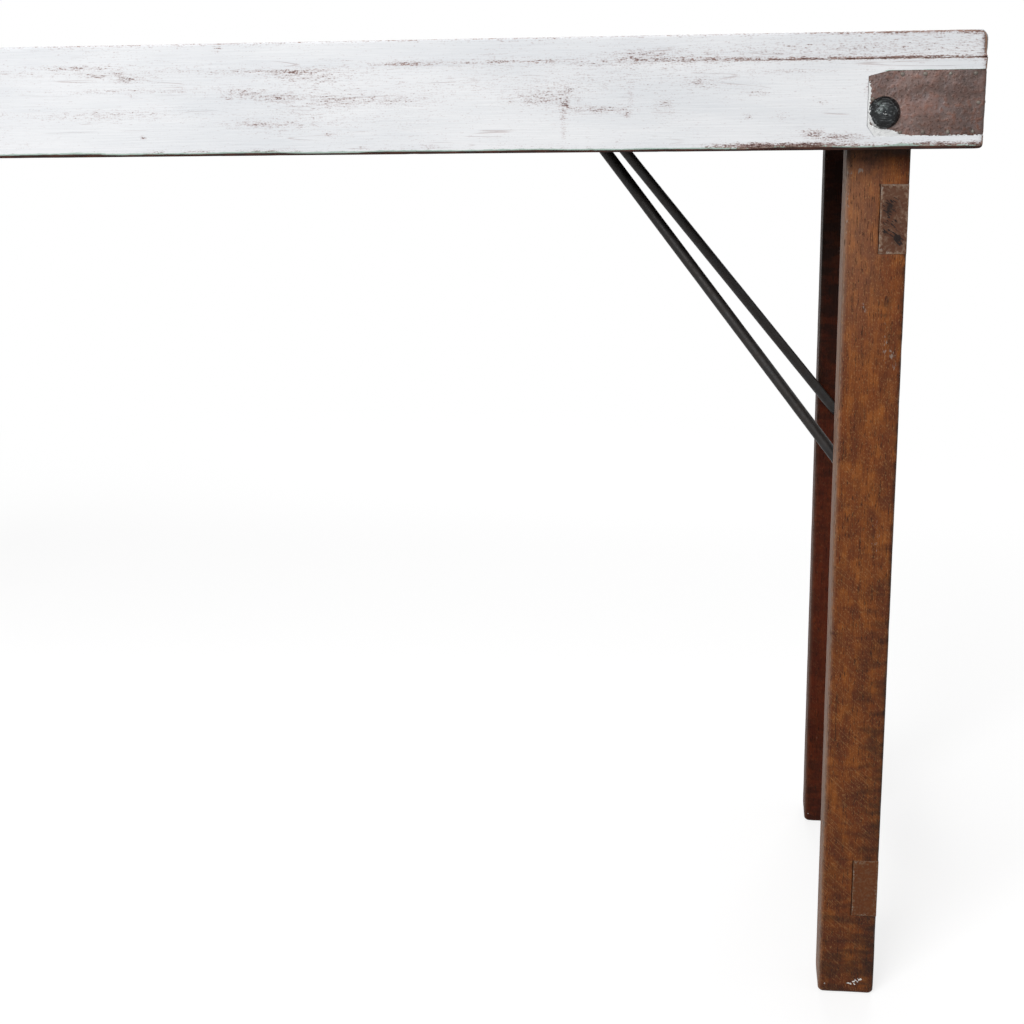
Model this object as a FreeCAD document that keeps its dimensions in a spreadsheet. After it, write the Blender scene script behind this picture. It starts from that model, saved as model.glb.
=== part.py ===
"""Folding console table: a planked top in a deep apron frame, standing on two folding leg frames.

Each leg frame turns on two dome-headed bolts and is held square by a bent iron rod, whose cross bar
hooks into a slotted bracket under the top. Millimetres, +Z up, X along the table, Y from front to
back. The origin is on the floor under the middle of the top.
"""
import FreeCAD, Part
import math
import os
import re
import Sketcher
from FreeCAD import Vector

FRONT, BACK = -1, 1
LEFT, RIGHT = -1, 1
SIDE_NAMES = {LEFT: "left", RIGHT: "right"}
FACE_NAMES = {FRONT: "front", BACK: "back"}

# The driving sizes, in millimetres.
SIZES = {
    "table_length": 1600,
    "table_depth": 410,
    "table_height": 765,
    # top planks
    "plank_thickness": 18,
    "plank_count": 4,
    "plank_gap": 1.2,
    "plank_arris": 1.2,
    # apron frame
    "frame_height": 61,
    "apron_thickness": 26,
    "apron_arris": 1.5,
    # bearers across the underside of the planks
    "bearer_thickness": 12,
    "bearer_width": 80,
    # folding legs
    "leg_width": 45,
    "leg_thickness": 42,
    "leg_arris": 2.5,
    "foot_bevel": 3,
    "leg_side_gap": 4,
    "pivot_inset": 68,
    "pivot_drop": 54,
    "leg_top_rise": 22,
    # rails let into the outer edges of the legs
    "rail_thickness": 20,
    "rail_width": 50,
    "rail_arris": 1,
    "upper_rail_drop": 76,
    "lower_rail_rise": 98,
    # pivot bolts, washers and nuts
    "bolt_diameter": 10,
    "bolt_clearance": 0.08,
    "bolt_head_diameter": 22,
    "bolt_head_height": 7.5,
    "bolt_point_bevel": 1,
    "bolt_thread_showing": 4,
    "washer_diameter": 24,
    "washer_thickness": 2,
    "turning_gap": 0.3,
    "nut_across_flats": 17,
    "nut_height": 8,
    # corner straps, let in flush
    "strap_length": 79,
    "strap_return": 58,
    "strap_height": 44,
    "strap_thickness": 2,
    "strap_sink": 0.2,
    "strap_above_middle": 0.5,
    "strap_fit": 0.2,
    "strap_bend": 2,
    "strap_upper_cut_length": 14,
    "strap_upper_cut_height": 3.5,
    "strap_lower_cut_length": 5,
    "strap_lower_cut_height": 7,
    # bent brace rods
    "brace_diameter": 9,
    "brace_pin_drop": 285,
    "brace_pin_offset": 5,
    "brace_pin_depth": 26,
    "brace_pin_clearance": 0.08,
    "brace_foot_gap": 7.5,
    "brace_bar_reach": 242,
    "brace_bar_half_width": 52,
    "brace_bar_bend": 16,
    "brace_pin_bend": 8,
    # slotted catch brackets
    "catch_plate_thickness": 3.5,
    "catch_length": 54,
    "catch_width": 92,
    "catch_cheek_spread": 60,
    "catch_cheek_drop": 20,
    "catch_headroom": 1,
    "catch_slot_clearance": 0.6,
    "catch_slot_slope": 16,
    "catch_seat_margin": 16,
    "catch_corner": 3,
    "screw_diameter": 4,
    "screw_length": 14,
    "screw_clearance": 0.05,
    "screw_head_diameter": 8,
    "screw_head_height": 2.4,
    "screw_edge": 7,
}

# Sizes worked out from the driving ones, as expressions of the sheet's names.
FRAME_TOP = "(table_height - plank_thickness)"
FRAME_BOTTOM = "(table_height - plank_thickness - frame_height)"
BEARER_BOTTOM = "(table_height - plank_thickness - bearer_thickness)"
INNER_DEPTH = "(table_depth - 2 * apron_thickness)"
PLANK_WIDTH = "((table_depth - (plank_count - 1) * plank_gap) / plank_count)"
PIVOT_X = "(table_length / 2 - pivot_inset)"
PIVOT_HEIGHT = "(table_height - pivot_drop)"
LEG_LENGTH = "(table_height - pivot_drop + leg_top_rise)"
LEG_CENTRE_Y = "(table_depth / 2 - apron_thickness - leg_side_gap - leg_thickness / 2)"
LEG_INNER_Y = "(table_depth / 2 - apron_thickness - leg_side_gap - leg_thickness)"
LEG_FRAME_DEPTH = "(table_depth - 2 * apron_thickness - 2 * leg_side_gap)"
UPPER_RAIL_HEIGHT = "(table_height - pivot_drop - upper_rail_drop)"
BOLT_HOLE = "(bolt_diameter + 2 * bolt_clearance)"
BOLT_GRIP = "(apron_thickness + leg_side_gap + leg_thickness + turning_gap)"
BOLT_LENGTH = f"({BOLT_GRIP} + washer_thickness + nut_height + bolt_thread_showing)"
STRAP_RECESS = "(strap_sink + strap_thickness)"
RECESS_FLOOR = "((frame_height - strap_height) / 2 + strap_above_middle)"
STRAP_BOTTOM = f"({FRAME_BOTTOM} + {RECESS_FLOOR})"
BAR_HEIGHT = f"({BEARER_BOTTOM} - catch_plate_thickness - catch_headroom - brace_diameter / 2)"
PIN_HEIGHT = "(table_height - pivot_drop - brace_pin_drop)"
BRACE_SPAN = "(brace_bar_reach - brace_pin_offset)"
BRACE_RISE = f"({BAR_HEIGHT} - {PIN_HEIGHT})"
BRACE_LENGTH = f"sqrt({BRACE_SPAN}^2 + {BRACE_RISE}^2)"
BRACE_TILT = f"atan({BRACE_SPAN} / {BRACE_RISE})"
BRACE_FOOT_Y = f"({LEG_INNER_Y} - brace_foot_gap)"
CATCH_X = "(table_length / 2 - pivot_inset - brace_bar_reach)"
CATCH_MIDDLE = "(catch_seat_margin - catch_length / 2)"
BAR_DROP = "(catch_plate_thickness + catch_headroom + brace_diameter / 2)"
SLOT_HALF = "(brace_diameter / 2 + catch_slot_clearance)"
SCREW_HOLE = "(screw_diameter + 2 * screw_clearance)"

doc = FreeCAD.newDocument("FoldingConsoleTable")
sheet = doc.addObject("Spreadsheet::Sheet", "Sizes")
for row, (alias, value) in enumerate(SIZES.items(), start=1):
    sheet.set(f"A{row}", alias)
    sheet.set(f"B{row}", str(value))
    sheet.setAlias(f"B{row}", alias)
doc.recompute()


def bound(expression):
    """The expression with each of the sheet's names written as the sheet's own cell."""
    return re.sub(r"[a-z]\w*", lambda m: f"Sizes.{m[0]}" if m[0] in SIZES else m[0], str(expression))


def size(expression):
    """The expression's value in millimetres or degrees."""
    value = sheet.evalExpression(bound(expression))
    return float(getattr(value, "Value", value))


def times(sign, expression):
    """The expression, or its negative on the left or the front."""
    return f"({sign} * {expression})"


class Piece:
    """One part of the table: a body whose sketches and features are bound to the sheet."""

    def __init__(self, label, x="0", y="0", z="0", turn="rotation(vector(0; 0; 1); 0)"):
        self.body = doc.addObject("PartDesign::Body", label)
        self.body.Label = label
        self.body.setExpression(
            "Placement", f"placement(vector({bound(x)}; {bound(y)}; {bound(z)}); {bound(turn)})"
        )

    def origin(self, role):
        """The body's own origin plane or axis of that role."""
        return next(o for o in self.body.Origin.OriginFeatures if o.Role == role)

    def sketch(self, role, offset="0"):
        """An empty sketch on an origin plane, moved along the plane's normal."""
        made = self.body.newObject("Sketcher::SketchObject", "Sketch")
        made.AttachmentSupport = [(self.origin(role), "")]
        made.MapMode = "FlatFace"
        made.setExpression("AttachmentOffset.Base.z", bound(offset))
        return made

    def place(self, sketch, geometry, point, x, y):
        """Ties one point of a sketch's geometry to a place measured from the sketch's origin."""
        for kind, where in (("DistanceX", x), ("DistanceY", y)):
            number = sketch.addConstraint(
                Sketcher.Constraint(kind, -1, 1, geometry, point, size(where))
            )
            sketch.setExpression(f"Constraints[{number}]", bound(where))

    def outline(self, role, *loops, offset="0"):
        """A sketch of closed polygons, each a list of (x, y) expressions for its corners."""
        made = self.sketch(role, offset)
        for loop in loops:
            corners = [Vector(size(x), size(y), 0) for x, y in loop]
            ends = corners[1:] + corners[:1]
            lines = [made.addGeometry(Part.LineSegment(a, b)) for a, b in zip(corners, ends)]
            for line, following in zip(lines, lines[1:] + lines[:1]):
                made.addConstraint(Sketcher.Constraint("Coincident", line, 2, following, 1))
            for line, (x, y) in zip(lines, loop):
                self.place(made, line, 1, x, y)
        return made

    def rectangle(self, role, width, height, offset="0"):
        """A sketch of a rectangle about the plane's centre."""
        right, top = f"({width} / 2)", f"({height} / 2)"
        left, bottom = f"(-{width} / 2)", f"(-{height} / 2)"
        corners = [(left, bottom), (right, bottom), (right, top), (left, top)]
        return self.outline(role, corners, offset=offset)

    def circles(self, role, diameter, *centres, offset="0"):
        """A sketch of equal circles at the given (x, y) expressions."""
        made = self.sketch(role, offset)
        for x, y in centres:
            middle = Vector(size(x), size(y), 0)
            ring = Part.Circle(middle, Vector(0, 0, 1), size(diameter) / 2)
            circle = made.addGeometry(ring)
            self.place(made, circle, 3, x, y)
            number = made.addConstraint(Sketcher.Constraint("Diameter", circle, size(diameter)))
            made.setExpression(f"Constraints[{number}]", bound(diameter))
        return made

    def pad(self, sketch, length, reverse=False, middle=False):
        """Adds the sketch's shape, drawn out along its normal."""
        made = self.body.newObject("PartDesign::Pad", "Pad")
        made.Profile = sketch
        made.setExpression("Length", bound(length))
        made.Reversed = reverse
        made.SideType = "Symmetric" if middle else "One side"
        doc.recompute()
        return made

    def cut(self, sketch, depth=None, reverse=False):
        """Takes the sketch's shape away, to a depth or right through both ways."""
        before = self.body.Shape.Volume
        made = self.body.newObject("PartDesign::Pocket", "Pocket")
        made.Profile = sketch
        if depth is None:
            made.Type = "ThroughAll"
            made.SideType = "Symmetric"
        else:
            made.setExpression("Length", bound(depth))
            made.Reversed = reverse
        doc.recompute()
        if not self.body.Shape.Volume < before:
            raise RuntimeError(f"{self.body.Label}: a cut takes nothing away")
        return made

    def turned(self, sketch):
        """Adds the sketch's shape, turned a full circle about the sketch's upright axis."""
        made = self.body.newObject("PartDesign::Revolution", "Revolution")
        made.Profile = sketch
        made.ReferenceAxis = (sketch, ["V_Axis"])
        made.Angle = 360
        doc.recompute()
        return made

    def edges(self, wanted):
        """Names of the tip's straight edges that the test accepts, by direction and middle."""
        names = []
        for number, edge in enumerate(self.body.Tip.Shape.Edges, start=1):
            if not isinstance(edge.Curve, Part.Line):
                continue
            direction = edge.tangentAt(edge.FirstParameter)
            if wanted(direction, edge.BoundBox.Center):
                names.append(f"Edge{number}")
        return names

    def soften(self, radius, wanted):
        """Rounds the edges that the test accepts."""
        base = (self.body.Tip, self.edges(wanted))
        made = self.body.newObject("PartDesign::Fillet", "Fillet")
        made.Base = base
        made.setExpression("Radius", bound(radius))
        doc.recompute()
        return made

    def bevel(self, width, wanted):
        """Bevels the edges that the test accepts."""
        base = (self.body.Tip, self.edges(wanted))
        made = self.body.newObject("PartDesign::Chamfer", "Chamfer")
        made.Base = base
        made.setExpression("Size", bound(width))
        doc.recompute()
        return made


def every_edge(direction, middle):
    """Accepts all edges."""
    return True


def along_x(direction, middle):
    """Accepts edges that run along X."""
    return abs(direction.x) > 0.999


def along_y(direction, middle):
    """Accepts edges that run along Y."""
    return abs(direction.y) > 0.999


def upright(direction, middle):
    """Accepts upright edges."""
    return abs(direction.z) > 0.999


def make_plank(number):
    """One board of the top, counted from the front, with all its edges taken off."""
    names = ["front", "front_middle", "back_middle", "back"]
    label = f"top_plank_{names[number]}" if number < len(names) else f"top_plank_{number + 1}"
    y = f"(-table_depth / 2 + {PLANK_WIDTH} / 2 + {number} * ({PLANK_WIDTH} + plank_gap))"
    plank = Piece(label, y=y, z=FRAME_TOP)
    plank.pad(plank.rectangle("XY_Plane", "table_length", PLANK_WIDTH), "plank_thickness")
    plank.bevel("plank_arris", every_edge)
    return plank


def leaf_outline(corner, way, reach, base):
    """A strap's leaf seen square on: from the frame's corner to its free end, both corners cut."""
    top = f"({base} + strap_height)"
    free = f"({corner} + {times(way, reach)})"
    lower = f"({corner} + {times(way, f'({reach} - strap_lower_cut_length)')})"
    upper = f"({corner} + {times(way, f'({reach} - strap_upper_cut_length)')})"
    return [
        (corner, base),
        (lower, base),
        (free, f"({base} + strap_lower_cut_height)"),
        (free, f"({top} - strap_upper_cut_height)"),
        (upper, top),
        (corner, top),
    ]


def make_long_apron(face):
    """The front or back board of the frame, bored for the pivot bolts and let in for the straps."""
    y = times(face, "(table_depth / 2 - apron_thickness / 2)")
    apron = Piece(f"{FACE_NAMES[face]}_apron", y=y, z=FRAME_BOTTOM)
    apron.pad(apron.rectangle("XY_Plane", "table_length", "apron_thickness"), "frame_height")
    apron.bevel("apron_arris", along_x)
    outer_y = times(-face, "(apron_thickness / 2)")
    ends = [(side, times(side, "(table_length / 2)")) for side in (LEFT, RIGHT)]
    leaves = [leaf_outline(end, -side, "(strap_length + strap_fit)", RECESS_FLOOR) for side, end in ends]
    apron.cut(apron.outline("XZ_Plane", *leaves, offset=outer_y), STRAP_RECESS, reverse=face == BACK)
    returns = []
    for side, end in ends:
        deep = times(side, f"(table_length / 2 - {STRAP_RECESS})")
        top = f"({RECESS_FLOOR} + strap_height)"
        returns.append([(deep, RECESS_FLOOR), (end, RECESS_FLOOR), (end, top), (deep, top)])
    apron.cut(apron.outline("XZ_Plane", *returns))
    pivot_z = f"({PIVOT_HEIGHT} - {FRAME_BOTTOM})"
    centres = [(times(side, PIVOT_X), pivot_z) for side in (LEFT, RIGHT)]
    apron.cut(apron.circles("XZ_Plane", BOLT_HOLE, *centres))
    return apron


def make_end_apron(side):
    """The short board between the long aprons, let in at both ends for the straps' returns."""
    x = times(side, "(table_length / 2 - apron_thickness / 2)")
    apron = Piece(f"{SIDE_NAMES[side]}_end_apron", x=x, z=FRAME_BOTTOM)
    apron.pad(apron.rectangle("XY_Plane", "apron_thickness", INNER_DEPTH), "frame_height")
    apron.bevel("apron_arris", along_y)
    leaves = []
    for face in (FRONT, BACK):
        corner = times(face, "(table_depth / 2)")
        leaves.append(leaf_outline(corner, -face, "(strap_return + strap_fit)", RECESS_FLOOR))
    outer_x = times(side, "(apron_thickness / 2)")
    apron.cut(apron.outline("YZ_Plane", *leaves, offset=outer_x), STRAP_RECESS, reverse=side == LEFT)
    return apron


def make_strap(side, face):
    """A sheet iron strap bent round a corner of the frame: two leaves and a hole for the bolt."""
    strap = Piece(
        f"corner_strap_{FACE_NAMES[face]}_{SIDE_NAMES[side]}",
        x=times(side, "(table_length / 2)"),
        y=times(face, "(table_depth / 2)"),
        z=STRAP_BOTTOM,
    )
    skin_x, skin_y = times(-side, "strap_sink"), times(-face, "strap_sink")
    long_leaf = leaf_outline(skin_x, -side, "(strap_length - strap_sink)", "0")
    front = strap.outline("XZ_Plane", long_leaf, offset=times(face, "strap_sink"))
    strap.pad(front, "strap_thickness", reverse=face == FRONT)
    short_leaf = leaf_outline(skin_y, -face, "(strap_return - strap_sink)", "0")
    end = strap.outline("YZ_Plane", short_leaf, offset=skin_x)
    strap.pad(end, "strap_thickness", reverse=side == RIGHT)
    near = size("strap_sink") + 0.1
    strap.soften("strap_bend", lambda d, m: upright(d, m) and abs(m.x) < near and abs(m.y) < near)
    pivot_z = f"({PIVOT_HEIGHT} - {STRAP_BOTTOM})"
    hole = strap.circles("XZ_Plane", BOLT_HOLE, (times(-side, "pivot_inset"), pivot_z))
    strap.cut(hole)
    return strap


def screw_places(side):
    """The places of a catch bracket's two screws, one in each flange."""
    middle = times(side, CATCH_MIDDLE)
    return [(middle, times(flank, "(catch_width / 2 - screw_edge)")) for flank in (-1, 1)]


def make_bearer(name, x, holes=()):
    """A batten across the underside of the planks, between the long aprons."""
    bearer = Piece(name, x=x, z=BEARER_BOTTOM)
    bearer.pad(bearer.rectangle("XY_Plane", "bearer_width", INNER_DEPTH), "bearer_thickness")
    bearer.bevel("apron_arris", lambda d, m: along_y(d, m) and m.z < 0.1)
    if holes:
        bearer.cut(bearer.circles("XY_Plane", SCREW_HOLE, *holes))
    return bearer


def make_catch(side):
    """A folded plate whose two cheeks have a sloping slot that the brace's cross bar slides into."""
    catch = Piece(f"brace_catch_{SIDE_NAMES[side]}", x=times(side, CATCH_X), z=BEARER_BOTTOM)
    wide, cheek = "(catch_width / 2)", "(catch_cheek_spread / 2)"
    inside = "(catch_cheek_spread / 2 - catch_plate_thickness)"
    half = [
        (wide, "0"),
        (wide, "-catch_plate_thickness"),
        (cheek, "-catch_plate_thickness"),
        (cheek, "-catch_cheek_drop"),
        (inside, "-catch_cheek_drop"),
        (inside, "-catch_plate_thickness"),
    ]
    section = half + [(f"(-{y})", z) for y, z in reversed(half)]
    middle = times(side, CATCH_MIDDLE)
    catch.pad(catch.outline("YZ_Plane", section, offset=middle), "catch_length", middle=True)
    low = -size("catch_cheek_drop") + 0.1
    catch.bevel("catch_corner", lambda d, m: along_y(d, m) and m.z < low)
    catch.cut(catch.circles("XZ_Plane", f"(2 * {SLOT_HALF})", ("0", f"(-{BAR_DROP})")))
    run, fall = "cos(catch_slot_slope)", "sin(catch_slot_slope)"
    mouth = []
    for along, across in ((0, 1), (1, 1), (1, -1), (0, -1)):
        x = f"({along} * catch_length * {run} + {across} * {SLOT_HALF} * {fall})"
        z = f"({across} * {SLOT_HALF} * {run} - {along} * catch_length * {fall})"
        mouth.append((times(-side, x), f"({z} - {BAR_DROP})"))
    catch.cut(catch.outline("XZ_Plane", mouth))
    catch.cut(catch.circles("XY_Plane", SCREW_HOLE, *screw_places(side)))
    return catch


def make_catch_screws(side):
    """The two round-headed screws that hold a catch bracket up to its bearer."""
    screws = Piece(f"catch_screws_{SIDE_NAMES[side]}", x=times(side, CATCH_X), z=BEARER_BOTTOM)
    screws.body.AllowCompound = True
    places = screw_places(side)
    heads = screws.circles("XY_Plane", "screw_head_diameter", *places, offset="-catch_plate_thickness")
    screws.pad(heads, "screw_head_height", reverse=True)
    shanks = screws.circles("XY_Plane", "screw_diameter", *places, offset="-catch_plate_thickness")
    screws.pad(shanks, "screw_length")
    return screws


def make_leg(side, face):
    """A square leg, notched on its outer edge for two rails and bored for bolt and brace."""
    leg = Piece(
        f"leg_{FACE_NAMES[face]}_{SIDE_NAMES[side]}",
        x=times(side, PIVOT_X),
        y=times(face, LEG_CENTRE_Y),
    )
    leg.pad(leg.rectangle("XY_Plane", "leg_width", "leg_thickness"), LEG_LENGTH)
    leg.bevel("foot_bevel", lambda d, m: not upright(d, m))
    leg.soften("leg_arris", upright)
    outer_x = times(side, "(leg_width / 2)")
    seat_x = times(side, "(leg_width / 2 - rail_thickness)")
    notches = []
    for middle in (UPPER_RAIL_HEIGHT, "lower_rail_rise"):
        low, high = f"({middle} - rail_width / 2)", f"({middle} + rail_width / 2)"
        notches.append([(seat_x, low), (outer_x, low), (outer_x, high), (seat_x, high)])
    leg.cut(leg.outline("XZ_Plane", *notches))
    leg.cut(leg.circles("XZ_Plane", BOLT_HOLE, ("0", PIVOT_HEIGHT)))
    pin_hole = leg.circles(
        "XZ_Plane",
        "(brace_diameter + 2 * brace_pin_clearance)",
        (times(-side, "brace_pin_offset"), PIN_HEIGHT),
        offset=times(face, "(leg_thickness / 2)"),
    )
    leg.cut(pin_hole, "(brace_pin_depth + turning_gap)", reverse=face == FRONT)
    return leg


def make_rail(side, name, height):
    """A flat rail across both legs of a frame, its ends flush with their outer faces."""
    x = times(side, f"({PIVOT_X} + leg_width / 2 - rail_thickness / 2)")
    rail = Piece(f"leg_rail_{name}_{SIDE_NAMES[side]}", x=x, z=f"({height} - rail_width / 2)")
    rail.pad(rail.rectangle("XY_Plane", "rail_thickness", LEG_FRAME_DEPTH), "rail_width")
    rail.bevel("rail_arris", every_edge)
    return rail


def at_pivot(name, side, face, depth):
    """A turned piece on a pivot bolt's axis, its sketch's upright axis pointing into the frame."""
    turn = "rotation(vector(0; 0; 1); 180)" if face == BACK else "rotation(vector(0; 0; 1); 0)"
    return Piece(
        f"{name}_{FACE_NAMES[face]}_{SIDE_NAMES[side]}",
        x=times(side, PIVOT_X),
        y=times(face, f"(table_depth / 2 - {depth})"),
        z=PIVOT_HEIGHT,
        turn=turn,
    )


def make_pivot_bolt(side, face):
    """A bolt with a domed head that rests on the strap, its shank reaching through the leg."""
    bolt = at_pivot("pivot_bolt", side, face, "strap_sink")
    profile = bolt.sketch("XY_Plane")
    length = f"({BOLT_LENGTH} - strap_sink)"
    places = [
        ("bolt_head_diameter / 2", "0"),
        ("bolt_diameter / 2", "0"),
        ("bolt_diameter / 2", f"({length} - bolt_point_bevel)"),
        ("bolt_diameter / 2 - bolt_point_bevel", length),
        ("0", length),
        ("0", "-bolt_head_height"),
    ]
    corners = [Vector(size(x), size(y), 0) for x, y in places]
    rim, crown = corners[0], corners[-1]
    sphere = (rim.x**2 + crown.y**2) / (-2 * crown.y)
    shoulder = Vector(rim.x / 2, sphere + crown.y - (sphere**2 - rim.x**2 / 4) ** 0.5, 0)
    dome = profile.addGeometry(Part.Arc(rim, shoulder, crown))
    lines = [profile.addGeometry(Part.LineSegment(a, b)) for a, b in zip(corners, corners[1:])]
    for line, (x, y) in zip(lines, places):
        bolt.place(profile, line, 1, x, y)
    for line, following in zip(lines, lines[1:]):
        profile.addConstraint(Sketcher.Constraint("Coincident", line, 2, following, 1))
    bolt.place(profile, lines[-1], 2, *places[-1])
    starts_at_crown = (profile.getPoint(dome, 1) - crown).Length < 0.01
    crown_end, rim_end = (1, 2) if starts_at_crown else (2, 1)
    profile.addConstraint(Sketcher.Constraint("Coincident", dome, rim_end, lines[0], 1))
    profile.addConstraint(Sketcher.Constraint("Coincident", dome, crown_end, lines[-1], 2))
    profile.addConstraint(Sketcher.Constraint("PointOnObject", dome, 3, -2))
    bolt.turned(profile)
    return bolt


def make_ring(name, side, face, depth, thickness, diameter):
    """A washer on a pivot bolt, from a depth behind the frame's outer face."""
    ring = at_pivot(name, side, face, depth)
    ring.pad(ring.circles("XZ_Plane", diameter, ("0", "0")), thickness, reverse=True)
    ring.cut(ring.circles("XZ_Plane", BOLT_HOLE, ("0", "0")))
    return ring


def make_nut(side, face):
    """The hexagon nut inside the leg."""
    nut = at_pivot("pivot_nut", side, face, f"({BOLT_GRIP} + washer_thickness)")
    corners = []
    for step in range(6):
        angle = 60 * step
        radius = "(nut_across_flats / 2 / cos(30))"
        corners.append((f"({radius} * cos({angle}))", f"({radius} * sin({angle}))"))
    nut.pad(nut.outline("XZ_Plane", corners), "nut_height", reverse=True)
    nut.cut(nut.circles("XZ_Plane", BOLT_HOLE, ("0", "0")))
    return nut


def rounded_path(piece, role, places, bends):
    """A sketch of straight runs through the places, each corner rounded by a tangent bend."""
    made = piece.sketch(role)
    corners = [Vector(size(x), size(y), 0) for x, y in places]
    runs, guides = [], []
    starts, stops = list(corners), list(corners)
    arcs = []
    for number, bend in enumerate(bends, start=1):
        corner = corners[number]
        before = (corners[number - 1] - corner).normalize()
        after = (corners[number + 1] - corner).normalize()
        half_angle = before.getAngle(after) / 2
        radius = size(bend)
        reach = radius / math.tan(half_angle)
        stops[number], starts[number] = corner + before * reach, corner + after * reach
        inward = (before + after).normalize()
        centre = corner + inward * (radius / math.sin(half_angle))
        arcs.append(Part.Arc(stops[number], centre - inward * radius, starts[number]))
    for number, (a, b) in enumerate(zip(corners, corners[1:])):
        guide = made.addGeometry(Part.LineSegment(a, b), True)
        piece.place(made, guide, 1, *places[number])
        piece.place(made, guide, 2, *places[number + 1])
        guides.append(guide)
        run = made.addGeometry(Part.LineSegment(starts[number], stops[number + 1]))
        made.addConstraint(Sketcher.Constraint("Tangent", run, guide))
        runs.append(run)
    made.addConstraint(Sketcher.Constraint("Coincident", runs[0], 1, guides[0], 1))
    made.addConstraint(Sketcher.Constraint("Coincident", runs[-1], 2, guides[-1], 2))
    for number, (arc, bend) in enumerate(zip(arcs, bends)):
        curve = made.addGeometry(arc)
        first = 1 if (made.getPoint(curve, 1) - stops[number + 1]).Length < 0.001 else 2
        made.addConstraint(Sketcher.Constraint("Tangent", runs[number], 2, curve, first))
        made.addConstraint(Sketcher.Constraint("Tangent", curve, 3 - first, runs[number + 1], 1))
        radius = made.addConstraint(Sketcher.Constraint("Radius", curve, size(bend)))
        made.setExpression(f"Constraints[{radius}]", bound(bend))
    return made


def make_brace(side):
    """One bent rod: pins turned out into the legs, arms that draw together, and a cross bar."""
    brace = Piece(
        f"brace_rod_{SIDE_NAMES[side]}",
        x=times(side, f"({PIVOT_X} - brace_pin_offset)"),
        z=PIN_HEIGHT,
        turn=f"rotation(vector(0; 1; 0); {times(-side, BRACE_TILT)})",
    )
    pin_end = f"({LEG_INNER_Y} + brace_pin_depth)"
    places = [
        (f"(-{pin_end})", "0"),
        (f"(-{BRACE_FOOT_Y})", "0"),
        ("(-brace_bar_half_width)", BRACE_LENGTH),
        ("brace_bar_half_width", BRACE_LENGTH),
        (BRACE_FOOT_Y, "0"),
        (pin_end, "0"),
    ]
    bends = ["brace_pin_bend", "brace_bar_bend", "brace_bar_bend", "brace_pin_bend"]
    path = rounded_path(brace, "YZ_Plane", places, bends)
    section = brace.circles("XZ_Plane", "brace_diameter", ("0", "0"), offset=pin_end)
    doc.recompute()
    rod = brace.body.newObject("PartDesign::AdditivePipe", "Rod")
    rod.Profile = section
    rod.Spine = (path, [])
    doc.recompute()
    return brace


def build_table():
    """Every part of the table, the fixed top frame first and then the folding frames."""
    for number in range(int(size("plank_count"))):
        yield make_plank(number)
    for face in (FRONT, BACK):
        yield make_long_apron(face)
    yield make_bearer("centre_bearer", "0")
    for side in (LEFT, RIGHT):
        yield make_end_apron(side)
        yield make_bearer(f"catch_bearer_{SIDE_NAMES[side]}", times(side, CATCH_X), screw_places(side))
        yield make_catch(side)
        yield make_catch_screws(side)
        yield make_rail(side, "upper", UPPER_RAIL_HEIGHT)
        yield make_rail(side, "lower", "lower_rail_rise")
        yield make_brace(side)
        for face in (FRONT, BACK):
            yield make_strap(side, face)
            yield make_leg(side, face)
            yield make_pivot_bolt(side, face)
            spacer = "(leg_side_gap - turning_gap)"
            yield make_ring("pivot_spacer", side, face, "apron_thickness", spacer, "washer_diameter")
            yield make_ring("pivot_washer", side, face, BOLT_GRIP, "washer_thickness", "washer_diameter")
            yield make_nut(side, face)


pieces = list(build_table())
doc.recompute()
for feature in doc.Objects:
    if {"Invalid", "Error"} & set(feature.State):
        raise RuntimeError(f"{feature.Label} did not build: {feature.State}")
os.makedirs("parts", exist_ok=True)
for piece in pieces:
    shape = piece.body.Shape
    if shape.isNull() or not shape.isValid():
        raise RuntimeError(f"{piece.body.Label} has no valid shape")
    shape.exportStep(f"parts/{piece.body.Label}.step")
    box = shape.BoundBox
    print(f"{piece.body.Label}: {len(shape.Solids)} solid, {shape.Volume:.0f} mm3,"
          f" {box.XLength:.1f} x {box.YLength:.1f} x {box.ZLength:.1f}")
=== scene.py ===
"""Folding console table: the looks of its boards, legs and ironwork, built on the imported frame.

A painted plank top in an apron frame stands on two oiled hardwood leg frames that fold up under it,
each held square by a bent iron rod. Metres throughout: X runs along the table, Y to its back, Z up.
"""
import logging
import math
from collections.abc import Mapping, Sequence
from dataclasses import dataclass, field
from enum import Enum

import bpy
import numpy as np
from mathutils import Matrix, Vector


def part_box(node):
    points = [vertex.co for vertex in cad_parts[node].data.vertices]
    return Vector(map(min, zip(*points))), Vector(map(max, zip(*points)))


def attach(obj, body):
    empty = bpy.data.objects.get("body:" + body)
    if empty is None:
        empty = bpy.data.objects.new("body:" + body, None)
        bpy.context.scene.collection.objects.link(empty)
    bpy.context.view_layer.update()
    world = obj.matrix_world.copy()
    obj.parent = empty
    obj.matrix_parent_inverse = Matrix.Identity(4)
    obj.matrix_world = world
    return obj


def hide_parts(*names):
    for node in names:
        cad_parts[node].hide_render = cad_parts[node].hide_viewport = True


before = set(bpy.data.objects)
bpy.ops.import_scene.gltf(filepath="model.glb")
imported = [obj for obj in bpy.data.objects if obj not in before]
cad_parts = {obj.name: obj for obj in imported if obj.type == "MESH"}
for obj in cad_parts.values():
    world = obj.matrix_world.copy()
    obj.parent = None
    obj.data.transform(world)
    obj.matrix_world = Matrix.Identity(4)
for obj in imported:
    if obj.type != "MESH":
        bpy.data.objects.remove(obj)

MM = 0.001
PICTURE = 1024  # width of the render in points
TABLE_END = float(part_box("top_plank_front")[1][0])
SEAM_OPENS = TABLE_END - 190 * MM  # the seam under the top opens from here to the right-hand end
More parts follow.
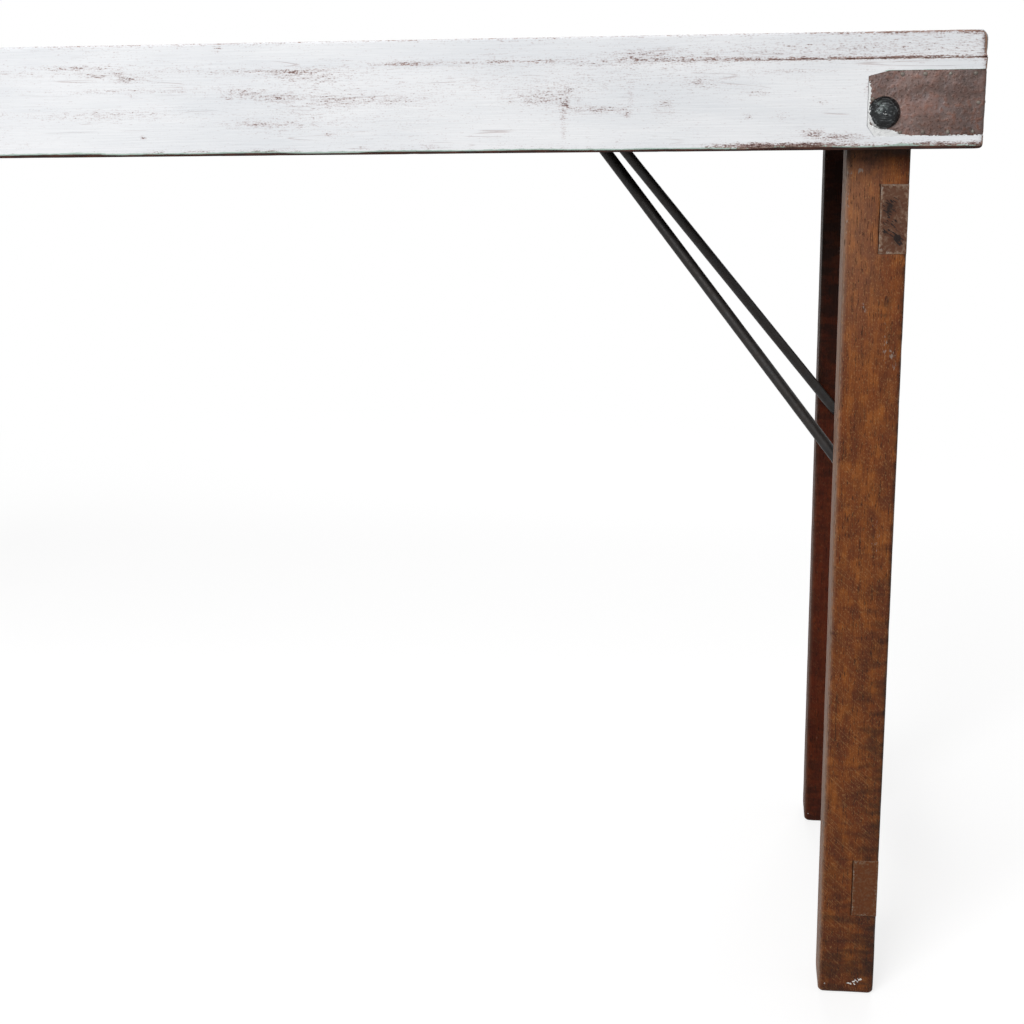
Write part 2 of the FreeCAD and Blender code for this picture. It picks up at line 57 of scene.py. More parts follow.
STEP = 0.04 * MM  # between the two grid lines that make a sharp step in a surface
PLANKS = ("front", "front_middle", "back_middle", "back")
Array = np.ndarray
Tree = bpy.types.NodeTree
Socket = bpy.types.NodeSocket
Mask = float | Socket | list[tuple[float | Socket, float]]
log = logging.getLogger("folding_table")


class Axis(Enum):
    """The way a board's fibres run."""

    X = 0
    Y = 1
    Z = 2


class Labelled(Enum):
    """A choice whose name stands in the names of the frame's nodes and bodies."""

    @property
    def label(self) -> str:
        """The name in small letters, as the frame writes it."""
        return self.name.lower()


class Side(Labelled):
    """An end of the table."""

    LEFT = -1
    RIGHT = 1


class Face(Labelled):
    """A long side of the table."""

    FRONT = -1
    BACK = 1


class Slot(Enum):
    """The record's material slots."""

    PAINTED = "white_painted_wood"
    SOFTWOOD = "bare_softwood"
    HARDWOOD = "oiled_hardwood"
    STRAP = "rusted_strap_iron"
    BOLT = "hammered_bolt_iron"
    IRON = "dark_iron"


# ---------- surfaces as arrays


def scattered(cells: Array, seed: int) -> Array:
    """A fixed random value for each whole-numbered cell.

    Its numbers are multiplied by large primes, and the bits of their sum are folded together.

    Args:
        cells: whole numbers, one row of three for each cell.
        seed: picks one of many such scatters.

    Returns:
        One value from -1 to 1 for each row.
    """
    mixed = (cells @ np.array([73856093, 19349663, 83492791]) + seed * 2654435761) & 0xFFFFFFFF
    for fold, factor in ((15, 2246822519), (13, 3266489917)):
        mixed = ((mixed ^ (mixed >> fold)) * factor) & 0xFFFFFFFF
    return (mixed ^ (mixed >> 16)) / 2147483648.0 - 1


def noise(points: Array, cell_mm: Sequence[float], seed: int) -> Array:
    """Smooth random values: those of the eight corners of a point's cell, blended by 3t² - 2t³.

    Args:
        points: places in metres, one row each.
        cell_mm: the cell's size along each axis.
        seed: picks one of many such patterns.

    Returns:
        One value from -1 to 1 for each point.
    """
    grid = points / (np.asarray(cell_mm) * MM)
    corner = np.floor(grid).astype(np.int64)
    part = grid - corner
    blend = part * part * (3 - 2 * part)
    total = np.zeros(len(points))
    for step in np.ndindex(2, 2, 2):
        weight = np.prod(np.where(np.array(step, bool), blend, 1 - blend), axis=1)
        total += weight * scattered(corner + step, seed)
    return total


def ramp(values: Array, start: float, stop: float) -> Array:
    """Values eased from 0 at the start to 1 at the stop, by 3t² - 2t³."""
    part = np.clip((values - start) / (stop - start), 0, 1)
    return part * part * (3 - 2 * part)


@dataclass
class Shape:
    """A closed surface: its points, its faces, and the values that a finish reads at each point."""

    points: Array
    faces: list[list[int]]
    layers: dict[str, Array] = field(default_factory=dict)

    @staticmethod
    def joined(shapes: Sequence["Shape"]) -> "Shape":
        """Several shapes as one, their faces renumbered in turn.

        Args:
            shapes: shapes that all have the same layers.

        Returns:
            One shape with everything in it.
        """
        starts = np.cumsum([0] + [len(shape.points) for shape in shapes])
        faces = [
            [corner + int(start) for corner in face]
            for shape, start in zip(shapes, starts)
            for face in shape.faces
        ]
        layers = {
            name: np.concatenate([shape.layers[name] for shape in shapes])
            for name in shapes[0].layers
        }
        return Shape(np.concatenate([shape.points for shape in shapes]), faces, layers)


def box_surface(lines: Sequence[Array]) -> Shape:
    """The six faces of a box as one closed net of quads.

    Every pair of neighbouring grid lines on a face makes a quad, and a point on an edge or a corner
    belongs to all the faces that meet there.

    Args:
        lines: the places of the grid lines along X, Y and Z.

    Returns:
        The box's surface, with its faces turned outwards.
    """
    counts = [len(places) for places in lines]
    strides = [1, counts[0], counts[0] * counts[1]]
    quads = []
    for normal in range(3):
        first, second = (normal + 1) % 3, (normal + 2) % 3
        across, up = np.meshgrid(
            np.arange(counts[first] - 1), np.arange(counts[second] - 1), indexing="ij"
        )
        start = (across * strides[first] + up * strides[second]).reshape(-1, 1)
        corners = np.array([0, strides[first], strides[first] + strides[second], strides[second]])
        for end, order in ((counts[normal] - 1, 1), (0, -1)):
            quads.append((start + corners)[:, ::order] + end * strides[normal])
    used, faces = np.unique(np.concatenate(quads), return_inverse=True)
    numbers = [used // strides[axis] % counts[axis] for axis in range(3)]
    points = np.stack([lines[axis][numbers[axis]] for axis in range(3)], axis=1)
    return Shape(points, faces.reshape(-1, 4).tolist())


def grid_lines(
    low: float, high: float, step: float, border: Sequence[float], marks: Sequence[float] = ()
) -> Array:
    """Places of grid lines: a step apart, and closer at both ends, where the arrises are rounded.

    Args:
        low: one end.
        high: the other end.
        step: the distance between lines away from the ends.
        border: distances from an end at which lines lie, from 0 up.
        marks: further lines, where the surface has a step.

    Returns:
        The places in rising order.
    """
    near = np.asarray(border)
    middle = np.linspace(
        low + near[-1], high - near[-1], max(2, round((high - low - 2 * near[-1]) / step) + 1)
    )
    places = np.concatenate([low + near[:-1], middle, high - near[:-1], np.asarray(marks, float)])
    return np.unique(np.round(places, 8))


def rings_surface(rings: Array) -> Shape:
    """A tube through closed rings of points, each end closed by a fan about the ring's middle.

    Args:
        rings: the rings in order, as (ring, point, 3), turning anticlockwise about the way along.

    Returns:
        The closed tube.
    """
    count, around = rings.shape[:2]
    number = np.arange(count * around).reshape(count, around)
    following = np.roll(number, -1, axis=1)
    quads = np.stack([number[:-1], following[:-1], following[1:], number[1:]], axis=-1)
    first, last = count * around, count * around + 1
    start = [[first, int(b), int(a)] for a, b in zip(number[0], following[0])]
    end = [[last, int(a), int(b)] for a, b in zip(number[-1], following[-1])]
    middles = rings[[0, -1]].mean(axis=1)
    points = np.concatenate([rings.reshape(-1, 3), middles])
    return Shape(points, quads.reshape(-1, 4).tolist() + start + end)


# ---------- boards


@dataclass(frozen=True)
class Mark:
    """A worn or bruised spot: the bell curve exp(-d²) over an ellipse on a board's face.

    Attributes:
        x: place of its middle, from the right-hand end of the table, in millimetres.
        z: height of its middle, in millimetres.
        reach_x: half its length, in millimetres.
        reach_z: half its height, in millimetres.
        depth: how strong it is.
    """

    x: float
    z: float
    reach_x: float
    reach_z: float
    depth: float

    def strength(self, points: Array) -> Array:
        """How far the spot reaches each point, from 0 to its depth.

        Args:
            points: places in metres.

        Returns:
            One value for each point.
        """
        x = (points[:, 0] - TABLE_END - self.x * MM) / (self.reach_x * MM)
        z = (points[:, 2] - self.z * MM) / (self.reach_z * MM)
        return self.depth * np.exp(-(x**2 + z**2))


def spots(marks: Sequence[Mark], points: Array) -> Array:
    """The strengths of several marks, added up at each point."""
    return sum((mark.strength(points) for mark in marks), np.zeros(len(points)))


@dataclass
class Board:
    """A piece of wood with worn arrises and slightly hollow faces.

    Attributes:
        low: lowest corner of its box.
        high: highest corner of its box.
        along: the way its fibres run.
        seed: sets its own wear and figure.
        step: distance between grid lines along the fibres.
        across: distance between grid lines across them.
        arris: usual radius of its arrises.
        wear: how much deeper the worst of the wear goes.
        blunt: how much rounder the arrises are at the ends of the fibres.
        bare: outward directions of the faces that are left without paint.
        skirt: how far up a neighbouring face the paint is missing.
        tight: outward direction of the face that meets another board, and keeps sharp arrises.
        opening: place along X from which the seam there opens, up to the right-hand end.
        handled: how worn the other faces are, in long patches.
        marks: worn spots of the face that looks to the front.
    """

    low: Array
    high: Array
    along: Axis
    seed: int
    step: float = 6 * MM
    across: float = 8 * MM
    arris: float = 1.0 * MM
    wear: float = 1.2 * MM
    blunt: float = 0.0
    bare: Sequence[Sequence[float]] = ()
    skirt: float = 0.0
    tight: Sequence[float] | None = None
    opening: float = math.inf
    handled: float = 0.0
    marks: Sequence[Mark] = ()

    BORDER = np.array([0, 0.35, 0.9, 1.8, 3.5, 5.6]) * MM  # grid lines beside an arris
    ROUNDEST = 6.2 * MM  # largest radius of an arris
    SHARPEST = 0.03 * MM  # smallest radius of an arris
    HOLLOW = 0.15 * MM  # how far the faces are hollowed
    CHIP = 0.3 * MM  # how deep the arrises are chipped
    ARRIS_FADE = 1.5 * MM  # how far from an arris its wear reaches
    END_FADE = 6 * MM  # how far from the ends of the fibres the arrises are blunt
    SEAM_FADE = 2 * MM  # how far from a seam the arris is sharp
    SEAM_RUN = 110 * MM  # length over which a seam opens
    SEAM_WORN = 0.3 * MM  # half the width of the worn line at an open seam
    SEAM_BARE = 0.22 * MM  # half the width of its bare line

    @classmethod
    def over(cls, node: str, along: Axis, seed: int, **sizes: object) -> "Board":
        """A board that fills the box of a node of the frame."""
        low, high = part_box(node)
        return cls(np.array(low), np.array(high), along, seed, **sizes)

    def lines(self) -> list[Array]:
        """Grid lines along the three axes, with the step along the fibres and the step across."""
        steps = [self.step if axis is self.along else self.across for axis in Axis]
        return [grid_lines(self.low[k], self.high[k], steps[k], self.BORDER) for k in range(3)]

    def fibres(self, points: Array) -> Array:
        """Places with the fibres' way first, moved so that each board has its own timber."""
        order = [(self.along.value + k) % 3 for k in range(3)]
        return points[:, order] + np.array([7.31, 1.17, 2.93]) * self.seed

    def carve(self, points: Array) -> Array:
        """Changes the plain board's surface into this board's own; a plain board has no changes."""
        return points

    def distance(self, points: Array, direction: Sequence[float]) -> Array:
        """How far points lie under the face that looks in a direction."""
        way = np.asarray(direction, float)
        return (np.where(way > 0, self.high, self.low) - points) @ way

    def patches(
        self, fibres: Array, cell_mm: Sequence[float], layer: int, start: float, stop: float
    ) -> Array:
        """One of the board's own noises, eased from 0 at one value to 1 at another.

        Args:
            fibres: places, with the fibres' way first.
            cell_mm: the size of the noise's cell.
            layer: picks the noise.
            start: the noise value that becomes 0.
            stop: the noise value that becomes 1.

        Returns:
            One value for each place.
        """
        return ramp(noise(fibres, cell_mm, self.seed + layer), start, stop)

    def seam(self, flat: Array, fibres: Array) -> tuple[Array, Array, Array]:
        """Where the board meets another one.

        Args:
            flat: points of the plain box.
            fibres: the same points, with the fibres' way first.

        Returns:
            For each point how close it is to the seam, from 0 to 1, how far the seam has opened
            there, from 0 to 1, and its distance from it.
        """
        if self.tight is None:
            return np.zeros(len(flat)), np.zeros(len(flat)), np.full(len(flat), math.inf)
        gap = self.distance(flat, self.tight)
        opened = ramp(flat[:, 0], self.opening, self.opening + self.SEAM_RUN)
        opened *= 0.45 + 0.55 * self.patches(fibres, (30, 9, 9), 5, -0.4, 0.5)
        return np.exp(-gap / self.SEAM_FADE), opened, gap

    def radii(self, flat: Array, fibres: Array) -> Array:
        """The arris's radius at each point: uneven, larger where it is worn, and blunt at the ends.

        Args:
            flat: points of the plain box.
            fibres: the same points, with the fibres' way first.

        Returns:
            One radius for each point.
        """
        run = self.along.value
        end_gap = np.minimum(flat[:, run] - self.low[run], self.high[run] - flat[:, run])
        radius = self.arris * (1 + 0.45 * noise(fibres, (45, 12, 12), self.seed))
        radius += self.wear * self.patches(fibres, (22, 9, 9), 1, 0.2, 0.9)
        return radius + self.blunt * np.exp(-((end_gap / self.END_FADE) ** 2))

    def coat(self, flat: Array, fibres: Array, outward: Array, split: Array) -> Array:
        """How much paint each point has: none on the bare faces, nor just round their arrises.

        Args:
            flat: points of the plain box.
            fibres: the same points, with the fibres' way first.
            outward: the surface's normals.
            split: how far an open seam has bared each point.

        Returns:
            A value from 0 to 1 for each point.
        """
        coat = 1 - split
        for direction in self.bare:
            coat = np.minimum(coat, 1 - ramp(outward @ np.asarray(direction, float), 0.7, 0.95))
            if self.skirt:
                wander = 1.3 * MM * noise(fibres, (28, 9, 9), self.seed + 4)
                gap = self.distance(flat, direction) + wander
                coat = np.minimum(coat, ramp(gap, self.skirt - 0.7 * MM, self.skirt + 2.2 * MM))
        return coat

    def shape(self) -> Shape:
        """The board's surface.

        Each point of the box is pulled to a core that lies an arris's radius inside, and pushed out
        again along the line between them, which rounds the arrises. The radius and a hollowing of
        the faces follow noise that is drawn out along the fibres.

        Returns:
            The surface, with all the layers that a finish of wood reads.
        """
        made = box_surface(self.lines())
        flat = made.points
        fibres = self.fibres(flat)
        close, opened, gap = self.seam(flat, fibres)
        gaps = np.sort(np.minimum(flat - self.low, self.high - flat), axis=1)
        near = np.exp(-gaps[:, 1] / self.ARRIS_FADE) * (1 - 0.8 * close)
        radius = self.radii(flat, fibres) * (1 - close * (0.97 - 0.15 * opened))
        radius = np.clip(radius, self.SHARPEST, self.ROUNDEST)[:, None]
        core = np.clip(flat, self.low + radius, self.high - radius)
        outward = flat - core
        outward /= np.linalg.norm(outward, axis=1, keepdims=True)
        hollow = self.HOLLOW * (1 + noise(fibres, (130, 30, 30), self.seed + 2)) / 2
        chip = self.CHIP * near * self.patches(fibres, (9, 4, 4), 3, 0.35, 0.9)
        points = core + outward * (radius - ((1 - close) * (hollow + chip))[:, None])
        forward = ramp(-outward[:, 1], 0.3, 0.9)
        handled = self.handled * self.patches(fibres, (110, 14, 14), 6, 0.1, 0.9)
        worn_seam = opened * np.exp(-((gap / self.SEAM_WORN) ** 2))
        bare_seam = opened * np.exp(-((gap / self.SEAM_BARE) ** 2))
        made.points = self.carve(points)
        made.layers = {
            "grain": self.fibres(made.points),
            "edge": near,
            "paint": self.coat(flat, fibres, outward, bare_seam),
            "rub": 3 * worn_seam + spots(self.marks, flat) * forward + handled * (1 - forward),
            "end": ramp(np.abs(outward[:, self.along.value]), 0.45, 0.9),
        }
        made.layers |= {name: np.zeros(len(flat)) for name in ("soot", "spatter", "bleach", "low")}
        return made


@dataclass(frozen=True)
class StrapOutline:
    """The outline of a strap's leaf: a strip along the frame, its free corners cut off.

    Attributes:
        bottom: height of its lower edge.
        top: height of its upper edge.
        upper_cut: length and height of the slanting cut at the upper free corner.
        lower_cut: length and height of the cut at the lower free corner.
    """

    bottom: float
    top: float
    upper_cut: tuple[float, float] = (14 * MM, 3.5 * MM)
    lower_cut: tuple[float, float] = (5 * MM, 7 * MM)

    def setback(self, heights: Array) -> Array:
        """How far the free end is cut back at each height: straight lines across both corners.

        Args:
            heights: heights in metres.

        Returns:
            One length for each height.
        """
        (upper_run, upper_drop), (lower_run, lower_rise) = self.upper_cut, self.lower_cut
        upper = upper_run * (1 - (self.top - heights) / upper_drop)
        lower = lower_run * (1 - (heights - self.bottom) / lower_rise)
        return np.clip(np.maximum(upper, lower), 0, max(upper_run, lower_run))

    def heights(self) -> list[float]:
        """Heights of both edges and of the ends of both cuts, from the lowest up."""
        cuts = [self.bottom + self.lower_cut[1], self.top - self.upper_cut[1]]
        return [self.bottom, *cuts, self.top]

    def recess_heights(self) -> list[float]:
        """Those heights, one just past each edge, and two across each cut."""
        cuts = [self.top - self.upper_cut[1] * part for part in (0.33, 0.67)]
        cuts += [self.bottom + self.lower_cut[1] * part for part in (0.33, 0.67)]
        return [self.bottom - STEP, *self.heights(), self.top + STEP, *cuts]


@dataclass
class Apron(Board):
    """A board of the frame, let in at its ends so that the corner straps lie flush.

    The wood is pressed in where a strap lies: across its thickness, all along the strap's leaf, and
    at a long apron's end also along its length. Grid lines follow the leaf's outline.

    Attributes:
        outward: the way its outer face looks.
        leaf: length of the strap's leaf, from this board's end.
        outline: the leaf's outline.
        depth: how deep the strap is let in.
        wraps: whether the strap also covers the board's ends.
    """

    outward: Sequence[float] = (0, -1, 0)
    leaf: float = 0.0
    outline: StrapOutline | None = None
    depth: float = 0.0
    wraps: bool = True

    SHEAR = 30 * MM  # how far from the leaf's free end the grid lines are slanted
    END = 12 * MM  # length over which a wrapped end is shortened
    SHUT = 5 * MM  # how far above and below the leaf they are slanted

    def lines(self) -> list[Array]:
        """The board's lines, and one pair of close lines at each step of a recess.

        Returns:
            The places of the grid lines along X, Y and Z.
        """
        made = super().lines()
        run = self.along.value
        ends = [self.low[run] + self.leaf, self.high[run] - self.leaf]
        steps = [ends[0], ends[0] + STEP, ends[1] - STEP, ends[1]]
        fine = [place + way * 6 * MM for place, way in zip(ends, (-1, 1))]
        made[run] = np.unique(np.round(np.concatenate([made[run], steps, fine]), 8))
        made[2] = np.unique(np.round(np.concatenate([made[2], self.outline.recess_heights()]), 8))
        return made

    def carve(self, points: Array) -> Array:
        """Presses the recesses in, sheared so that their ends follow the leaf's outline.

        Args:
            points: the worn board.

        Returns:
            The board with its recesses.
        """
        run = self.along.value
        depth_axis = 1 - run
        made = points.copy()
        middle = (self.low[run] + self.high[run]) / 2
        half = (self.high[run] - self.low[run]) / 2
        way = np.where(points[:, run] < middle, -1, 1)
        along = way * (points[:, run] - middle)
        start = half - self.leaf
        height = points[:, 2]
        below, above = self.outline.bottom - height, height - self.outline.top
        inside = (np.maximum(below, above) <= 1e-7) & (along >= start - STEP / 2)
        # a tent over the free end slides the grid lines along by the outline's setback
        tent = np.clip(1 - np.abs(along - start) / self.SHEAR, 0, 1)
        shut = ramp(np.maximum(below, above), 0, self.SHUT)
        made[:, run] += way * tent * self.outline.setback(height) * (1 - shut)
        # the outer face sinks, and everything between it and the inner face in proportion
        inner, outer = self.low[depth_axis], self.high[depth_axis]
        if self.outward[depth_axis] < 0:
            inner, outer = outer, inner
        pressed = inner + (made[:, depth_axis] - inner) * (1 - self.depth / abs(outer - inner))
        made[:, depth_axis] = np.where(inside, pressed, made[:, depth_axis])
        if self.wraps:
            tail = np.clip((along - half + self.END) / self.END, 0, None)
            made[:, run] -= np.where(inside, way * tail * self.depth, 0)
        return made

    def shape(self) -> Shape:
        """The apron's surface, its paint thin along the straps' upper edge.

        Returns:
            The surface with its layers.
        """
        made = super().shape()
        run = self.along.value
        place, height = made.points[:, run], made.points[:, 2]
        from_end = np.minimum(place - self.low[run], self.high[run] - place)
        line = (from_end < self.leaf - 12 * MM) & (np.abs(height - self.outline.top) < 0.1 * MM)
        made.layers["paint"] = np.where(line, 0.55, made.layers["paint"])
        return made


@dataclass
class Leg(Board):
    """A square leg, notched on its outer edge where the rails cross it.

    Attributes:
        outer: the way its outer edge looks along X.
        notches: lowest and highest edge of each rail.
        seat: how deep the rails are let in.
        shaded: how strongly painted shade darkens the leg toward its top, for the shadow of the top.
        spatter: places near the foot with specks of white paint.
        stains: dark smears of its face.
    """

    outer: int = 1
    notches: Sequence[tuple[float, float]] = ()
    seat: float = 20 * MM
    shaded: float = 0.0
    spatter: Sequence[Mark] = ()
    stains: Sequence[Mark] = ()

    def lines(self) -> list[Array]:
        """The board's lines, and a pair of close lines at each shoulder of a notch.

        Returns:
            The places of the grid lines along X, Y and Z.
        """
        made = super().lines()
        shoulders = [
            place for low, high in self.notches for place in (low, low + STEP, high - STEP, high)
        ]
        made[2] = np.unique(np.round(np.concatenate([made[2], shoulders]), 8))
        return made

    def carve(self, points: Array) -> Array:
        """Presses the outer edge in between the shoulders of each notch.

        Args:
            points: the worn leg.

        Returns:
            The leg with its notches.
        """
        made = points.copy()
        width = self.high[0] - self.low[0]
        inner = self.low[0] if self.outer > 0 else self.high[0]
        for low, high in self.notches:
            inside = (points[:, 2] > low + STEP / 2) & (points[:, 2] < high - STEP / 2)
            pressed = inner + (points[:, 0] - inner) * (1 - self.seat / width)
            made[:, 0] = np.where(inside, pressed, made[:, 0])
        return made

    def shape(self) -> Shape:
        """The leg's surface, with layers for its dirt, its specks of paint and its paler parts.

        Returns:
            The surface with its layers.
        """
        made = super().shape()
        flat = made.points
        height = flat[:, 2]
        across = self.outer * (flat[:, 0] - (self.low[0] + self.high[0]) / 2)
        inward = np.minimum(flat[:, 1] - self.low[1], self.high[1] - flat[:, 1])
        lowness = 1 - ramp(height, 0.1, 0.62)
        clean = ramp(across, -19.5 * MM, -22 * MM)  # the inner face has no dirt, and is lightened as a painted sheen of light glancing off it
        # darkening: dirt and painted shade along the outer edge, darkest at its arrises; darker over
        # the outer half lower down and at the foot; painted shade toward the top of a shaded leg,
        # and just under the aprons, where the leg goes up between the boards
        outer = ramp(across, 17 * MM, 23 * MM) * (0.75 + 0.35 * lowness)
        outer *= 0.4 + 0.6 * np.exp(-inward / (3 * MM))
        broad = (0.15 + 0.5 * ramp(across, -6 * MM, 20 * MM)) * lowness * (1 - clean)
        foot = 0.5 * (1 - ramp(height, 0.02, 0.2)) * (1 - clean)
        # painted shade: toward the top of a back leg, and just under the aprons
        upper = self.shaded * ramp(height, 0.1, 0.7) + ramp(height, 0.668, 0.688)
        bleached = ramp(height, 0.50, 0.64) * ramp(across, 20 * MM, -16 * MM)
        made.layers["soot"] = np.max([outer, broad, foot, upper, spots(self.stains, flat)], axis=0)
        made.layers["spatter"] = spots(self.spatter, flat)
        # paler wood high on the front, and painted sheen over the inner face
        made.layers["bleach"] = bleached + 2.2 * clean
        made.layers["low"] = lowness
        return made


# ---------- finishes


def linear(hexed: str) -> tuple[float, float, float, float]:
    """A colour written as sRGB hex, as the linear numbers that shaders take.

    A part up to 0.04045 is divided by 12.92, and a higher one is ((part + 0.055) / 1.055) ** 2.4.

    Args:
        hexed: the colour, as #RRGGBB.

    Returns:
        Red, green, blue and a full alpha.
    """
    parts = [int(hexed[place : place + 2], 16) / 255 for place in (1, 3, 5)]
    red, green, blue = (
        part / 12.92 if part <= 0.04045 else ((part + 0.055) / 1.055) ** 2.4 for part in parts
    )
    return red, green, blue, 1.0


def add_node(
    tree: Tree,
    kind: str,
    settings: Mapping[str, object],
    inputs: Mapping[str | int, object],
    output: str | int = 0,
) -> Socket | None:
    """Adds a shader node with its settings and links.

    Args:
        tree: the material's or world's nodes.
        kind: the node's type, without ShaderNode.
        settings: the node's own properties.
        inputs: for each input's name or number, a value or the socket that feeds it.
        output: the name or number of the output that is wanted.

    Returns:
        That output, or nothing for a node that has none.
    """
    node = tree.nodes.new(f"ShaderNode{kind}")
    for name, value in settings.items():
        setattr(node, name, value)
    for name, value in inputs.items():
        if isinstance(value, Socket):
            tree.links.new(value, node.inputs[name])
        else:
            node.inputs[name].default_value = value
    return node.outputs[output] if node.outputs else None


def layered(
    tree: Tree, base: str | Socket, layers: Sequence[tuple[Mask, str | Socket]]
) -> Socket:
    """Colours laid over one another, each where its mask is 1.

    Args:
        tree: the material's nodes.
        base: the lowest colour, as hex or a socket.
        layers: pairs of a mask and a colour, from the lowest up. A list as a mask is added up.

    Returns:
        The socket of the mixed colour.
    """
    colour = linear(base) if isinstance(base, str) else base
    for mask, tone in layers:
        factor = weighted(tree, mask) if isinstance(mask, list) else mask
        upper = linear(tone) if isinstance(tone, str) else tone
        # a Mix of colours has its factor at 0, its two colours at 6 and 7, and its result at 2
        colour = add_node(tree, "Mix", {"data_type": "RGBA"}, {0: factor, 6: colour, 7: upper}, 2)
    return colour


def weighted(
    tree: Tree, parts: Sequence[tuple[float | Socket, float]], start: float | Socket = 0.0
) -> float | Socket:
    """The sum of several values, each times its weight, and a starting value.

    Args:
        tree: the material's nodes.
        parts: pairs of a value and its weight.
        start: what they are added to.

    Returns:
        The socket of the sum.
    """
    total = start
    for value, weight in parts:
        total = add_node(
            tree, "Math", {"operation": "MULTIPLY_ADD"}, {0: value, 1: weight, 2: total}
        )
    return total


@dataclass(frozen=True)
class Pattern:
    """Noise of a real size, cut to a mask.

    Attributes:
        length: size of its spots along the fibres, in millimetres.
        width: their size across the fibres.
        low: the noise value that becomes 0.
        high: the noise value that becomes 1.
        detail: how many finer noises are added.
        thick: their size the other way across, or 0 for the same width both ways.
        lean: angle that the spots are turned by about the fibres.
        slant: angle that they are turned by away from the fibres.
    """

    length: float
    width: float
    low: float = 0.4
    high: float = 0.6
    detail: float = 3.0
    thick: float = 0.0
    lean: float = 0.0
    slant: float = 0.0

    def mask(self, tree: Tree, place: Socket) -> Socket:
        """Draws the pattern.

        Args:
            tree: the material's nodes.
            place: the socket of the place, in metres, with the fibres' way first.

        Returns:
            The mask's socket.
        """
        if self.lean or self.slant:
            turn = (self.lean, 0, self.slant)
            place = add_node(tree, "Mapping", {}, {"Vector": place, "Rotation": turn})
        sizes = (self.length, self.width, self.thick or self.width)
        fine = tuple(1 / (size * MM) for size in sizes)
        scaled = add_node(tree, "VectorMath", {"operation": "MULTIPLY"}, {0: place, 1: fine})
        value = add_node(
            tree, "TexNoise", {}, {"Vector": scaled, "Scale": 1.0, "Detail": self.detail}
        )
        limits = {"Value": value, "From Min": self.low, "From Max": self.high}
        return add_node(tree, "MapRange", {"interpolation_type": "SMOOTHSTEP"}, limits)


@dataclass(frozen=True)
class Finish:
    """A material. Each kind of finish draws its own nodes in paint().

    Attributes:
        name: what the material is called.
    """

    name: str

    def paint(self, tree: Tree) -> dict[str, object]:
        """Draws the finish and returns what its shader's inputs are fed with."""
        raise NotImplementedError

    def material(self) -> bpy.types.Material:
        """The finish as a material, made once.

        Returns:
            The material.
        """
        known = bpy.data.materials.get(self.name)
        if known:
            return known
        made = bpy.data.materials.new(self.name)
        made.use_nodes = True
        tree = made.node_tree
        tree.nodes.clear()
        shader = add_node(tree, "BsdfPrincipled", {}, self.paint(tree))
        add_node(tree, "OutputMaterial", {}, {"Surface": shader})
        return made


